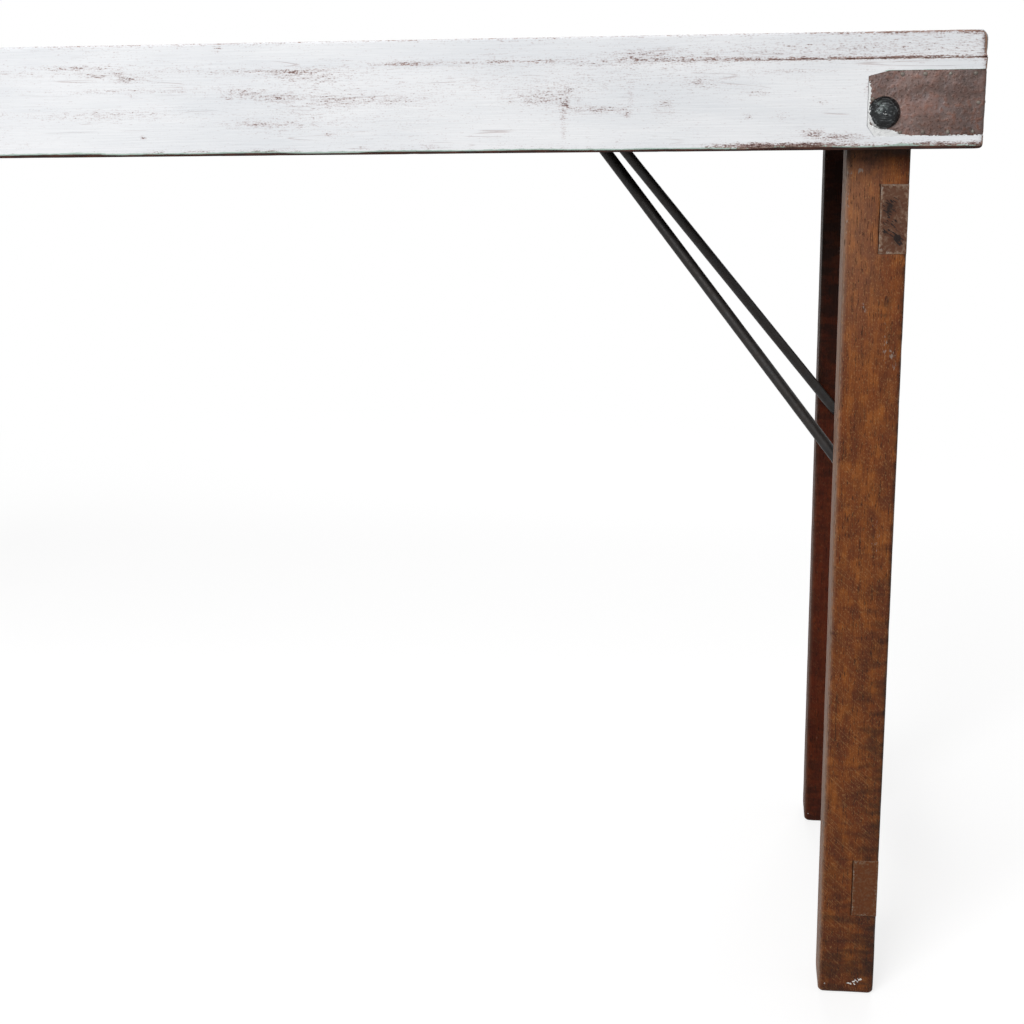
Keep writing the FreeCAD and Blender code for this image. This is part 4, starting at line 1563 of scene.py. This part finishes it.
@dataclass
class PivotBolt:
    """A bolt with a forged head, which a leg frame turns on.

    Attributes:
        side: the end of the table.
        face: the long side of the table.
        radius: the head's radius.
        rise: how far its crown stands out.
        shank: radius of its shank.
        pitch: of its thread.
        thread: length of its thread.
        groove: depth of its thread.
    """

    side: Side
    face: Face
    radius: float = 11 * MM
    rise: float = 7.5 * MM
    shank: float = 5 * MM
    pitch: float = 1.5 * MM
    thread: float = 25 * MM
    groove: float = 0.8 * MM

    AROUND = 40  # points of a ring
    BLOWS = 26  # hammer blows on the head
    SPREAD = 2.39996  # turn from one blow to the next: the golden angle spreads them evenly
    SINK = 0.16 * MM  # how deep a blow goes
    RINGS = 26 * MM  # how far from its tip the thread's close rings start

    @property
    def node(self) -> str:
        """The frame's node that this bolt stands for."""
        return f"pivot_bolt_{self.face.label}_{self.side.label}"

    def head(self, angle: Array) -> Array:
        """The rings of the head, from its crown to its rim.

        The head is a dome cut by flats that a hammer left: at each place the lowest of the dome and
        many planes that just cut it, with a small dimple in the middle.

        Args:
            angle: the angles of a ring's points.

        Returns:
            The rings, with the seat at Y = 0 and the crown at -rise.
        """
        out = np.concatenate([[0.03, 0.07, 0.11], np.linspace(0.17, 1, 14)])[:, None]
        sphere = (self.radius**2 + self.rise**2) / (2 * self.rise)
        across = out * self.radius * np.cos(angle)
        up = out * self.radius * np.sin(angle)
        height = np.sqrt(sphere**2 - across**2 - up**2) - sphere + self.rise
        seed = 71 + 2 * self.side.value + self.face.value
        for blow in range(self.BLOWS):
            far = self.radius * (0.15 + 0.8 * math.sqrt((blow + 0.5) / self.BLOWS))
            way = self.SPREAD * blow + seed
            over, high = far * math.cos(way), far * math.sin(way)
            deep = math.sqrt(sphere**2 - far**2)
            slope = -1 / deep
            top = deep - sphere + self.rise
            tilt = slope * (over * (across - over) + high * (up - high))
            height = np.minimum(height, top - self.SINK + tilt)
        dimple = 0.4 * MM * np.exp(-((out / 0.07) ** 2))
        return np.stack([across, -(np.clip(height, 0.3 * MM, None) - dimple), up], axis=-1)

    def stem(self, angle: Array, length: float) -> Array:
        """The rings of the shank, with a saw-tooth thread that winds once round in each pitch.

        Args:
            angle: the angles of a ring's points.
            length: of the shank.

        Returns:
            The rings, from the seat to the tip.
        """
        threads = np.arange(length - self.RINGS, length - 0.8 * MM, 0.25 * MM)
        depths = np.concatenate([[0.0, 1.0 * MM], threads])[:, None]
        turns = depths / self.pitch - angle / (2 * math.pi)
        tooth = np.abs((turns % 1) - 0.5) * 2
        radii = self.shank - np.where(depths > length - self.thread, self.groove * tooth, 0)
        radii = np.concatenate([radii, np.full((1, self.AROUND), self.shank - 1 * MM)])
        depths = np.broadcast_to(np.concatenate([depths, [[length]]]), radii.shape)
        return np.stack([radii * np.cos(angle), depths, radii * np.sin(angle)], -1)

    def shape(self) -> Shape:
        """The whole bolt, with the layers smear, fresh and shade.

        Returns:
            The bolt's surface.
        """
        low, high = (np.array(corner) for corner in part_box(self.node))
        angle = np.linspace(0, 2 * math.pi, self.AROUND, endpoint=False)
        head = self.head(angle)
        rim = head[-1:] * [1, 0, 1]
        rings = np.concatenate([head, rim, self.stem(angle, high[1] - low[1] - self.rise)])
        made = rings_surface(rings[:, ::-1])
        middle = (low + high) / 2
        seat = low[1] + self.rise if self.face is Face.FRONT else high[1] - self.rise
        made.points = made.points * [1, -self.face.value, 1] + [middle[0], seat, middle[2]]
        if self.face is Face.BACK:
            made.faces = [corners[::-1] for corners in made.faces]
        made.layers = self.weathered(made.points - middle)
        return made

    def weathered(self, offsets: Array) -> dict[str, Array]:
        """The finish's layers: paint at the rim, a ring of white round the dimple as a painted
        highlight, a painted sheen on the head's upper part, and painted shade at its rim.

        Args:
            offsets: the bolt's points, from its middle.

        Returns:
            The layers smear, fresh and shade.
        """
        far = np.hypot(offsets[:, 0], offsets[:, 2]) / self.radius
        toward = -self.side.value * offsets[:, 0] / self.radius
        lower = -offsets[:, 2] / self.radius
        rim = np.clip(1.4 * (toward + 0.45 * lower - 0.35), 0, 1) * ramp(far, 0.62, 0.95)
        # a painted highlight: a ring of white round the dimple, for the glint at the crown
        ring = 0.62 * np.exp(-(((far - 0.09) / 0.04) ** 2))
        # painted sheen: light on the upper part of the head
        painted_sheen = np.exp(-((toward - 0.3) ** 2 + (lower + 0.45) ** 2) / 0.16)
        return {
            "smear": np.maximum(0.8 * rim, ring),
            "fresh": 0.8 * painted_sheen,
            # painted shade at the rim of the head
            "shade": 0.3 * ramp(far, 0.6, 1),
        }


# ---------- sub-assemblies


@dataclass
class TopFrame:
    """The planked top, its aprons and bearers, and the ironwork that rides on them.

    Attributes:
        body: the body of the frame that it is.
        strap_gap: clearance between a strap's leaf and the end of its recess.
        rubs: worn spots of the front, its table of marks.
    """

    body: str = "top_frame"
    strap_gap: float = 0.3 * MM
    rubs: tuple[Mark, ...] = tuple(
        Mark(*row)
        for row in (
            (-648, 749.6, 29, 1.2, 0.67), (-639, 744.4, 4, 1.0, 0.7), (-629, 743.7, 5, 1.2, 0.81),
            (-613, 744.5, 5, 1.0, 0.8), (-610, 740.3, 6, 1.4, 0.85), (-596, 740.8, 14, 3.2, 0.4),
            (-611, 732.5, 69, 1.2, 0.51), (-523, 730.4, 14, 2.4, 0.6), (-532, 726.6, 4, 1.3, 0.8),
            (-494, 726.2, 23, 3.5, 0.5), (-455, 723.8, 18, 3.9, 0.5), (-485, 744.1, 14, 1.2, 0.8),
            (-475, 740.4, 32, 3.9, 0.5), (-509, 744.9, 41, 1.2, 0.51), (-599, 700.1, 2, 1.4, 1.18),
            (-538, 760.8, 2, 1.5, 1.1), (-460, 700.3, 2, 1.2, 1.17), (-606, 729.2, 2, 1.2, 0.92),
            (-511, 708.1, 32, 1.9, 0.45), (-631, 716.0, 48, 3.9, 0.42), (-590, 689.0, 8, 1.2, 0.7),
            (-558, 689.2, 12, 1.2, 0.7), (-501, 689.7, 23, 1.2, 0.79), (-402, 748.7, 18, 1.2, 0.7),
            (-332, 749.2, 41, 1.3, 0.6), (-236, 751.3, 28, 3.9, 0.42), (-414, 723.5, 34, 3.9, 0.45),
            (-305, 723.2, 23, 4.5, 0.5), (-288, 719.9, 2, 2.9, 1.25), (-290, 706.7, 2, 11.0, 0.77),
            (-286, 729.8, 2, 3.2, 0.62), (-263, 715.2, 21, 2.9, 0.72), (-245, 712.1, 2, 1.9, 1.39),
            (-243, 723.0, 2, 7.7, 0.61), (-250, 694.0, 2, 1.2, 1.15), (-387, 690.9, 5, 1.2, 0.92),
            (-436, 691.5, 2, 1.2, 1.07), (-111, 753.9, 124, 5.5, 0.34), (-77, 747.7, 83, 0.8, 0.85),
            (-194, 748.1, 48, 1.2, 0.6), (-52, 747.4, 25, 0.8, 1.07), (-52, 764.3, 55, 1.2, 0.75),
            (-194, 732.7, 10, 2.6, 0.6), (-219, 717.6, 6, 5.2, 0.5), (-153, 725.3, 10, 1.6, 0.6),
            (-161, 709.0, 3, 2.6, 0.6), (-138, 709.0, 6, 2.6, 0.5), (-110, 718.7, 6, 1.9, 0.45),
            (-129, 739.3, 39, 1.2, 0.43), (-117, 697.9, 8, 2.9, 0.95), (-99, 694.7, 15, 2.9, 0.9),
            (-170, 689.7, 18, 1.2, 0.86), (-104, 689.4, 62, 1.2, 0.64), (-28, 690.3, 21, 1.4, 0.85),
            (-1.5, 759.1, 2, 4.5, 1.2), (-8, 764, 7, 1.2, 1.1), (-4, 689.2, 4, 1.9, 0.9),
            (-79, 730.4, 2, 6.5, 0.6), (-60, 757, 60, 6.5, 0.25), (-480, 731, 75, 6, 0.2),
            (-133, 689.4, 48, 2.0, 0.9), (-152, 688.6, 13, 1.5, 2.6), (-121, 688.4, 9, 1.7, 2.4),
            (-30, 689.4, 11, 1.2, 2.0), (-5, 688.6, 6, 1.4, 1.8), (-330, 735, 90, 12, 0.22),
            (-200, 735, 60, 14, 0.18), (-430, 712, 120, 8, 0.16), (-1, 750, 2, 9, 0.9),
        )
    )

    @property
    def outline(self) -> StrapOutline:
        """The outline of the straps' leaves, at the frame's own heights."""
        low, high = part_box("corner_strap_front_right")
        return StrapOutline(low.z, high.z)

    def build(self) -> None:
        """Builds everything that rides on the top frame."""
        self.build_planks()
        self.build_aprons()
        self.build_bearers()
        for side in Side:
            self.build_catch(side)
            for face in Face:
                self.fit_corner(side, face)
        for side in Side:
            for face in Face:
                self.nail_strap(side, face)
        self.nail_planks()

    def build_planks(self) -> None:
        """The four boards of the top, worn most along the outer edges."""
        for number, name in enumerate(PLANKS):
            node = f"top_plank_{name}"
            down = (0, 0, -1)
            board = Board.over(
                node, Axis.X, 11 + number, arris=0.9 * MM, wear=0.7 * MM, blunt=5.5 * MM,
                bare=[down], tight=down, marks=self.rubs, opening=SEAM_OPENS, handled=0.7,
                across=2 * MM if name == "front" else 8 * MM,
                step=3 * MM if name == "front" else 6 * MM,
            )
            add_piece(f"worn_{node}", board.shape(), self.body, WHITE_PAINT, [node])

    def build_aprons(self) -> None:
        """The four boards of the frame, let in for the straps."""
        shared = {
            "outline": self.outline,
            "depth": CornerStrap.thickness + CornerStrap.sink + 0.1 * MM,
            "arris": 1.1 * MM,
            "tight": (0, 0, 1),
            "skirt": 1.9 * MM,
            "handled": 0.55,
            "opening": SEAM_OPENS,
        }
        for face in Face:
            node = f"{face.label}_apron"
            board = Apron.over(
                node, Axis.X, 21 + face.value, outward=(0, face.value, 0), marks=self.rubs,
                leaf=CornerStrap.length + self.strap_gap, bare=[(0, 0, -1), (0, -face.value, 0)],
                step=3 * MM, across=1.6 * MM, blunt=2 * MM, **shared,
            )
            add_piece(f"worn_{node}", board.shape(), self.body, WHITE_PAINT, [node])
        corner = float(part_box("front_apron")[0].y)
        for side in Side:
            node = f"{side.label}_end_apron"
            board = Apron.over(
                node, Axis.Y, 31 + side.value, outward=(side.value, 0, 0), wraps=False,
                leaf=corner + CornerStrap.reach + self.strap_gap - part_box(node)[0].y,
                bare=[(0, 0, -1), (-side.value, 0, 0)], **shared,
            )
            add_piece(f"worn_{node}", board.shape(), self.body, WHITE_PAINT, [node])

    def build_bearers(self) -> None:
        """The three battens under the planks."""
        for number, node in enumerate(("centre_bearer", "catch_bearer_left", "catch_bearer_right")):
            board = Board.over(node, Axis.Y, 41 + number, arris=1.2 * MM)
            add_piece(f"sawn_{node}", board.shape(), self.body, SOFTWOOD, [node])

    def build_catch(self, side: Side) -> None:
        """A catch bracket's finish, and its slotted screws.

        Args:
            side: the end of the table.
        """
        dress_node(f"brace_catch_{side.label}", ROD_IRON)
        node = f"catch_screws_{side.label}"
        low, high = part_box(node)
        seat = low.z + SlottedScrews.rise
        radius = SlottedScrews.radius
        heads = [
            SlottedScrews().head((low.x + high.x) / 2, y, seat, number + side.value)
            for number, y in enumerate((low.y + radius, high.y - radius))
        ]
        add_piece(
            f"slotted_screws_{side.label}", Shape.joined(heads), self.body, NAIL_IRON,
            [node],
        )

    def fit_corner(self, side: Side, face: Face) -> None:
        """A corner's strap and pivot bolt, and the finish of what is threaded on the bolt.

        Args:
            side: the end of the table.
            face: the long side of the table.
        """
        node = f"corner_strap_{face.label}_{side.label}"
        strap = CornerStrap(side, face, self.outline)
        add_piece(f"rusted_{node}", strap.shape(), self.body, STRAP_IRON, [node])
        bolt = PivotBolt(side, face)
        add_piece(
            f"forged_{bolt.node}", bolt.shape(), self.body, BOLT_IRON, [bolt.node]
        )
        for part in ("spacer", "washer", "nut"):
            dress_node(f"pivot_{part}_{face.label}_{side.label}", ROD_IRON)

    def nail_strap(self, side: Side, face: Face) -> None:
        """Small nails round both leaves of a strap: two rows, and one at each end between them.

        Args:
            side: the end of the table.
            face: the long side of the table.
        """
        outline = self.outline
        pin = Fastening(radius=1.5 * MM, rise=0.9 * MM)
        let_in = 0.15 * MM  # how far the pins' shoulders lie under the strap's face
        rows = (outline.top - 2.6 * MM, outline.bottom + 2.6 * MM)
        between = (rows[0] + rows[1]) / 2
        places = [(far * MM, z) for z in rows for far in (7.7, 24.5, 41.3, 56.7)]
        places += [(5 * MM, between), (76 * MM, outline.bottom + 25 * MM)]
        returns = [(far * MM, z) for z in rows for far in (8.0, 25.0, 42.0)]
        returns += [(6 * MM, between), (54.5 * MM, between)]
        low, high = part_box(f"corner_strap_{face.label}_{side.label}")
        depth = max(abs(low.y), abs(high.y))
        end_x, end_y = side.value * (TABLE_END - CornerStrap.sink), face.value * depth
        heads = [
            pin.head(
                (side.value * (TABLE_END - far), end_y - face.value * let_in, z),
                (0, face.value, 0), number,
            )
            for number, (far, z) in enumerate(places)
        ]
        heads += [
            pin.head(
                (end_x - side.value * let_in, face.value * (depth + CornerStrap.sink - far), z),
                (side.value, 0, 0), number,
            )
            for number, (far, z) in enumerate(returns)
        ]
        add_piece(
            f"strap_nails_{face.label}_{side.label}", Shape.joined(heads), self.body, NAIL_IRON,
        )

    def nail_planks(self) -> None:
        """Two larger nails through each plank into each board or bearer under it."""
        nail = Fastening(radius=2.6 * MM, rise=0.35 * MM, sunk=2 * MM)
        heads = []
        supports = (
            "left_end_apron", "catch_bearer_left", "centre_bearer", "catch_bearer_right",
            "right_end_apron",
        )
        for number, plank in enumerate(PLANKS):
            low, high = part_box(f"top_plank_{plank}")
            for count, support in enumerate(supports):
                x = sum(corner.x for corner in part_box(support)) / 2
                for part in (0.24, 0.76):
                    seed = 7 * number + 3 * count + int(4 * part)
                    drift = 3 * MM * math.sin(5.1 * seed)
                    y = low.y + part * (high.y - low.y) + 2 * MM * math.cos(3.7 * seed)
                    place = (x + drift, y, high.z - 0.42 * MM)
                    heads.append(nail.head(place, (0, 0, 1), seed))
        add_piece("plank_nails", Shape.joined(heads), self.body, NAIL_IRON)


@dataclass
class LegFrame:
    """A folding pair of legs with two rails let into their outer edges.

    The tables of marks are for the right-hand frame's front; the left-hand one lies out of reach.

    Attributes:
        side: the end of the table.
        scuffs: bruises of a leg's front.
        stains: dark smears and cracks of a leg's front.
        gouges: torn places of a rail's end, below 0, and its frayed border, above 0.
        spatter: specks of white paint near the foot.
    """

    side: Side
    scuffs: tuple[Mark, ...] = tuple(
        Mark(*row)
        for row in (
            (-53, 535, 3.5, 8, 0.8), (-49, 520, 3, 12, 0.5), (-81, 671, 4.5, 1.2, 1.0),
            (-88, 640, 5, 26, 0.55), (-58, 395, 5, 22, 0.5), (-72, 90, 1.2, 20, 0.6),
            (-58, 548, 1.6, 16, 0.7), (-74, 571, 4, 5, 0.55), (-90, 668, 12, 0.7, 0.9),
        )
    )
    stains: tuple[Mark, ...] = tuple(
        Mark(*row)
        for row in (
            (-99, 175.5, 11, 2.4, 1.1), (-99, 154, 9, 3.2, 1.1), (-88, 318, 9, 1.4, 0.9),
            (-82, 582, 0.6, 8, 0.8), (-83, 570, 0.6, 7, 0.8), (-76.5, 411, 0.6, 16, 0.8),
            (-84, 253, 1.2, 1.2, 1.3), (-58, 560, 4, 30, 0.6),
        )
    )
    gouges: tuple[Mark, ...] = tuple(
        Mark(*row)
        for row in (
            (-58, 645, 5, 4, -1.1), (-60, 640, 3, 3, -0.9), (-57, 632, 6, 2.5, -0.9),
            (-52.5, 621.5, 3.5, 3.5, -1.8), (-61, 626, 2.5, 2, -1.0), (-66, 656, 2.4, 4, 1.1),
            (-65.5, 648, 1.3, 3, 0.9), (-66, 640, 2.2, 4, 1.1), (-65, 631, 1.2, 4, 0.8),
            (-66, 622, 2, 4, 1.1), (-65.5, 614, 2.4, 3, 1.1), (-57, 659.5, 5, 1.8, 0.9),
            (-48, 659, 3, 1.6, 0.8), (-59, 610.5, 4, 2, 1.0), (-50, 611, 4, 1.4, 0.8),
            (-65, 112, 1.4, 7, 0.8), (-66, 96, 1.2, 9, 0.7), (-65, 80, 1.3, 6, 0.8),
            (-58, 74, 7, 1.2, 0.7), (-62, 122, 5, 1.4, 0.7), (-47, 98, 1.6, 26, 0.5),
        )
    )
    spatter: tuple[Mark, ...] = tuple(
        Mark(*row)
        for row in (
            (-85, 9, 3.5, 2.0, 1.0), (-64, 10, 6, 2.2, 1.2), (-58, 14, 5, 3, 0.9),
        )
    )

    @property
    def body(self) -> str:
        """The body that this frame is."""
        return f"leg_frame_{self.side.label}"

    def build(self) -> None:
        """Builds the legs, the rails and their nails."""
        rails = {part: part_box(f"leg_rail_{part}_{self.side.label}") for part in ("upper", "lower")}
        notches = [(low.z, high.z) for low, high in rails.values()]
        for face in Face:
            node = f"leg_{face.label}_{self.side.label}"
            # the back legs carry painted shade toward their tops
            leg = Leg.over(
                node, Axis.Z, 81 + 2 * self.side.value + face.value, arris=2.0 * MM, wear=1.4 * MM,
                step=3 * MM, across=2.5 * MM, blunt=2.5 * MM, outer=self.side.value,
                notches=notches, marks=self.scuffs, spatter=self.spatter, stains=self.stains,
                shaded=0.95 if face is Face.BACK else 0.0,
            )
            # the back legs take the shaded copy of the wood: painted shade
            wood = HARDWOOD if face is Face.FRONT else SHADED_HARDWOOD
            add_piece(f"worn_{node}", leg.shape(), self.body, wood, [node])
        for number, part in enumerate(rails):
            node = f"leg_rail_{part}_{self.side.label}"
            rail = Board.over(
                node, Axis.Y, 91 + number + 2 * self.side.value, arris=0.5 * MM, wear=0.5 * MM,
                across=2.5 * MM, marks=self.gouges,
            )
            wood = HARDWOOD if part == "upper" else BROWN_END_HARDWOOD
            add_piece(f"worn_{node}", rail.shape(), self.body, wood, [node])
        self.nail_rails(rails)

    def nail_rails(self, rails: Mapping[str, Sequence[Vector]]) -> None:
        """Two nails through each rail into each leg.

        Args:
            rails: the lowest and highest corner of each rail.
        """
        nail = Fastening(radius=2.2 * MM, rise=0.4 * MM, sunk=2 * MM)
        outward = self.side.value
        heads = []
        for number, (low, high) in enumerate(rails.values()):
            x = (high.x if self.side is Side.RIGHT else low.x) - outward * 0.2 * MM
            for face in Face:
                leg_low, leg_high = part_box(f"leg_{face.label}_{self.side.label}")
                for way in (-1, 1):
                    y = (leg_low.y + leg_high.y) / 2 + way * 7 * MM
                    z = (low.z + high.z) / 2 + way * 13 * MM
                    seed = 5 * number + way + face.value
                    heads.append(nail.head((x, y, z), (outward, 0, 0), seed))
        add_piece(
            f"rail_nails_{self.side.label}", Shape.joined(heads), self.body, NAIL_IRON
        )


@dataclass
class Brace:
    """A bent round iron rod: pins turned out into the legs, two arms and a cross bar.

    Attributes:
        side: the end of the table.
        radius: of the rod.
        foot_gap: from a leg's inner face to the bend above the pin.
        bar_half: half the cross bar's length, between the arms' middles.
        pin_bend: radius of the bends at the pins.
        bar_bend: radius of the bends at the cross bar.
    """

    side: Side
    radius: float = 4.5 * MM
    foot_gap: float = 7.5 * MM
    bar_half: float = 52 * MM
    pin_bend: float = 8 * MM
    bar_bend: float = 16 * MM

    AROUND = 16  # points of a ring

    def centreline(self) -> tuple[Array, Array]:
        """The rod's middle line, in the sloping plane of the rod.

        Each corner between straight runs becomes an arc that touches both: its points are the
        arc's middle plus the bend's radius, turned from one run to the other.

        Returns:
            The points, and the normal of the plane that they lie in.
        """
        low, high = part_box(f"brace_rod_{self.side.label}")
        leg_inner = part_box(f"leg_back_{self.side.label}")[0].y
        left_x, right_x = low.x + self.radius, high.x - self.radius
        pin_x, bar_x = (right_x, left_x) if self.side is Side.RIGHT else (left_x, right_x)
        pin_z, bar_z = low.z + self.radius, high.z - self.radius
        length = math.hypot(bar_x - pin_x, bar_z - pin_z)
        foot, bar = leg_inner - self.foot_gap, self.bar_half
        corners = np.array(
            [(low.y, 0), (-foot, 0), (-bar, length), (bar, length), (foot, 0), (high.y, 0)]
        )
        runs = [corners[0][None]]
        bends = (self.pin_bend, self.bar_bend, self.bar_bend, self.pin_bend)
        for number, bend in enumerate(bends, 1):
            corner = corners[number]
            back, ahead = (corners[number + step] - corner for step in (-1, 1))
            back, ahead = back / np.linalg.norm(back), ahead / np.linalg.norm(ahead)
            half = math.acos(back @ ahead) / 2
            bisector = (back + ahead) / np.linalg.norm(back + ahead)
            middle = corner + bisector * bend / math.sin(half)
            start, stop = (corner + way * bend / math.tan(half) - middle for way in (back, ahead))
            part = np.linspace(0, 1, 9)[:, None]
            swing = math.pi - 2 * half
            arc = np.sin((1 - part) * swing) * start + np.sin(part * swing) * stop
            arc = middle + arc / math.sin(swing)
            runs += [np.linspace(runs[-1][-1], arc[0], 26)[1:-1], arc]
        runs.append(np.linspace(runs[-1][-1], corners[-1], 6)[1:])
        flat = np.concatenate(runs)
        across = np.array([0, 1, 0])
        slope = np.array([bar_x - pin_x, 0, bar_z - pin_z]) / length
        points = np.array([pin_x, 0, pin_z]) + flat[:, :1] * across + flat[:, 1:] * slope
        return points, np.cross(across, slope)

    def build(self) -> None:
        """Carries a circle along the middle line, its radius a little uneven from the forge."""
        line, normal = self.centreline()
        ahead = np.gradient(line, axis=0)
        ahead /= np.linalg.norm(ahead, axis=1, keepdims=True)
        sideways = np.cross(ahead, normal)[:, None, :]
        angle = np.linspace(0, 2 * math.pi, self.AROUND, endpoint=False)[None, :, None]
        around = np.cos(angle) * normal + np.sin(angle) * sideways
        places = (line[:, None, :] + 6 * MM * around).reshape(-1, 3)
        rough = noise(places, (14, 14, 14), 5).reshape(around.shape[:2])
        radii = self.radius * (1 - 0.012 * (1 + rough))
        made = rings_surface(line[:, None, :] + around * radii[:, :, None])
        add_piece(
            f"round_iron_brace_{self.side.label}", made, f"brace_{self.side.label}", ROD_IRON,
            [f"brace_rod_{self.side.label}"],
        )


# ---------- studio


@dataclass(frozen=True)
class Lamp:
    """A square, soft lamp.

    Attributes:
        name: the lamp's name.
        place: where it hangs, in metres.
        size: length of its side.
        power: in watts.
    """

    name: str
    place: tuple[float, float, float]
    size: float
    power: float


@dataclass
class Studio:
    """The floor, the light and the camera.

    Attributes:
        station: where the camera stands, in metres.
        pitch: how far it looks down, in radians.
        yaw: how far it looks to the left.
        roll: how far it leans.
        focal: focal length in picture points.
        shift: sideways shift of the picture, as a share of its width.
        sensor: width of the sensor, in millimetres.
        floor_reach: half the floor's side.
        floor_shown: the floor's own tone where it is seen.
        floor_glow: light that it gives itself there, so that only the table's shadow is grey.
        floor_lit: its tone for the light that it throws back at the table.
        fade: distances from the middle between which the floor turns plain white.
        surround: strength of the white round the table as a light.
        aim: the place that the lamps look at.
        lamps: a large one in front and above, and a weaker one behind.
    """

    station: tuple[float, float, float] = (0.6347, -1.3728, 0.762)
    pitch: float = 0.2825
    yaw: float = 0.12624
    roll: float = 0.01836
    focal: float = 1619.6
    shift: float = -0.025
    sensor: float = 36.0
    floor_reach: float = 6.0
    floor_shown: str = "#9E9E9E"
    floor_glow: float = 0.74
    floor_lit: str = "#6E6E6E"
    fade: tuple[float, float] = (1.0, 2.0)
    surround: float = 0.34
    aim: tuple[float, float, float] = (0.3, 0, 0.5)
    lamps: tuple[Lamp, ...] = (
        Lamp("key", (-0.7, -3.0, 2.4), 1.8, 109.0), Lamp("back", (0.9, 3.2, 2.0), 2.0, 50.0),
    )

    def build(self) -> None:
        """Sets up the camera, the floor and the light."""
        self.build_camera()
        self.build_floor()
        self.build_light()

    def build_camera(self) -> None:
        """A camera at the height of the top, looking a little down and to the left."""
        data = bpy.data.cameras.new("view")
        data.sensor_width = self.sensor
        data.lens = self.focal / PICTURE * self.sensor
        data.shift_x = self.shift
        camera = bpy.data.objects.new("view", data)
        turn = (
            Matrix.Rotation(self.yaw, 4, "Z")
            @ Matrix.Rotation(math.pi / 2 - self.pitch, 4, "X")
            @ Matrix.Rotation(-self.roll, 4, "Z")
        )
        camera.matrix_world = Matrix.Translation(self.station) @ turn
        bpy.context.scene.collection.objects.link(camera)
        bpy.context.scene.camera = camera

    def build_floor(self) -> None:
        """A white floor that keeps the table's shadow, fades into the white and is clear below."""
        square = [(-1, -1), (1, -1), (1, 1), (-1, 1)]
        mesh = bpy.data.meshes.new("floor")
        mesh.from_pydata(
            [(x * self.floor_reach, y * self.floor_reach, 0) for x, y in square], [], [(0, 1, 2, 3)]
        )
        material = bpy.data.materials.new("white_studio_floor")
        material.use_nodes = True
        tree = material.node_tree
        tree.nodes.clear()
        plain = linear("#FFFFFF")
        seen = self.seen(tree)
        place = add_node(tree, "TexCoord", {}, {}, "Object")
        far = add_node(tree, "VectorMath", {"operation": "LENGTH"}, {0: place}, "Value")
        fade = add_node(
            tree, "MapRange", {"interpolation_type": "SMOOTHSTEP"},
            {"Value": far, "From Min": self.fade[0], "From Max": self.fade[1]},
        )
        white = add_node(tree, "Emission", {}, {"Color": plain, "Strength": 1.0})
        shaded = add_node(tree, "BsdfDiffuse", {}, {"Color": linear(self.floor_shown)})
        glow = add_node(tree, "Emission", {}, {"Color": plain, "Strength": self.floor_glow})
        lit = add_node(tree, "AddShader", {}, {0: shaded, 1: glow})
        shown = add_node(tree, "MixShader", {}, {0: fade, 1: lit, 2: white})
        dull = add_node(tree, "BsdfDiffuse", {}, {"Color": linear(self.floor_lit)})
        top = add_node(tree, "MixShader", {}, {0: seen, 1: dull, 2: shown})
        clear = add_node(tree, "BsdfTransparent", {}, {})
        under = add_node(tree, "NewGeometry", {}, {}, "Backfacing")
        both = add_node(tree, "MixShader", {}, {0: under, 1: top, 2: clear})
        add_node(tree, "OutputMaterial", {}, {"Surface": both})
        mesh.materials.append(material)
        floor = bpy.data.objects.new("floor", mesh)
        bpy.context.scene.collection.objects.link(floor)

    def seen(self, tree: Tree) -> Socket:
        """1 for rays that show a surface directly, in a mirror or through glass, and 0 for light.

        Args:
            tree: the floor's or world's nodes.

        Returns:
            The socket of the highest of the three kinds of ray.
        """
        total = 0.0
        for output in ("Is Camera Ray", "Is Glossy Ray", "Is Transmission Ray"):
            ray = add_node(tree, "LightPath", {}, {}, output)
            total = add_node(tree, "Math", {"operation": "MAXIMUM"}, {0: ray, 1: total})
        return total

    def build_light(self) -> None:
        """A soft white surround, and the lamps."""
        world = bpy.data.worlds.new("white_surround")
        bpy.context.scene.world = world
        world.use_nodes = True
        tree = world.node_tree
        tree.nodes.clear()
        strength = add_node(
            tree, "MapRange", {}, {"Value": self.seen(tree), "To Min": self.surround, "To Max": 1.0}
        )
        sky = add_node(
            tree, "Background", {}, {"Color": linear("#FFFFFF"), "Strength": strength}
        )
        add_node(tree, "OutputWorld", {}, {"Surface": sky})
        for lamp in self.lamps:
            data = bpy.data.lights.new(lamp.name, "AREA")
            data.size = lamp.size
            data.energy = lamp.power
            light = bpy.data.objects.new(lamp.name, data)
            light.location = lamp.place
            aim = Vector(self.aim) - light.location
            light.rotation_euler = aim.to_track_quat("-Z", "Y").to_euler()
            bpy.context.scene.collection.objects.link(light)


def main() -> None:
    """Builds the table and its studio."""
    logging.basicConfig(level=logging.INFO, format="%(message)s")
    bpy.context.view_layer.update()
    bpy.context.scene.view_settings.view_transform = "Standard"
    TopFrame().build()
    for side in Side:
        LegFrame(side).build()
        Brace(side).build()
    Studio().build()
    bpy.context.view_layer.update()


if __name__ == "__main__":
    main()
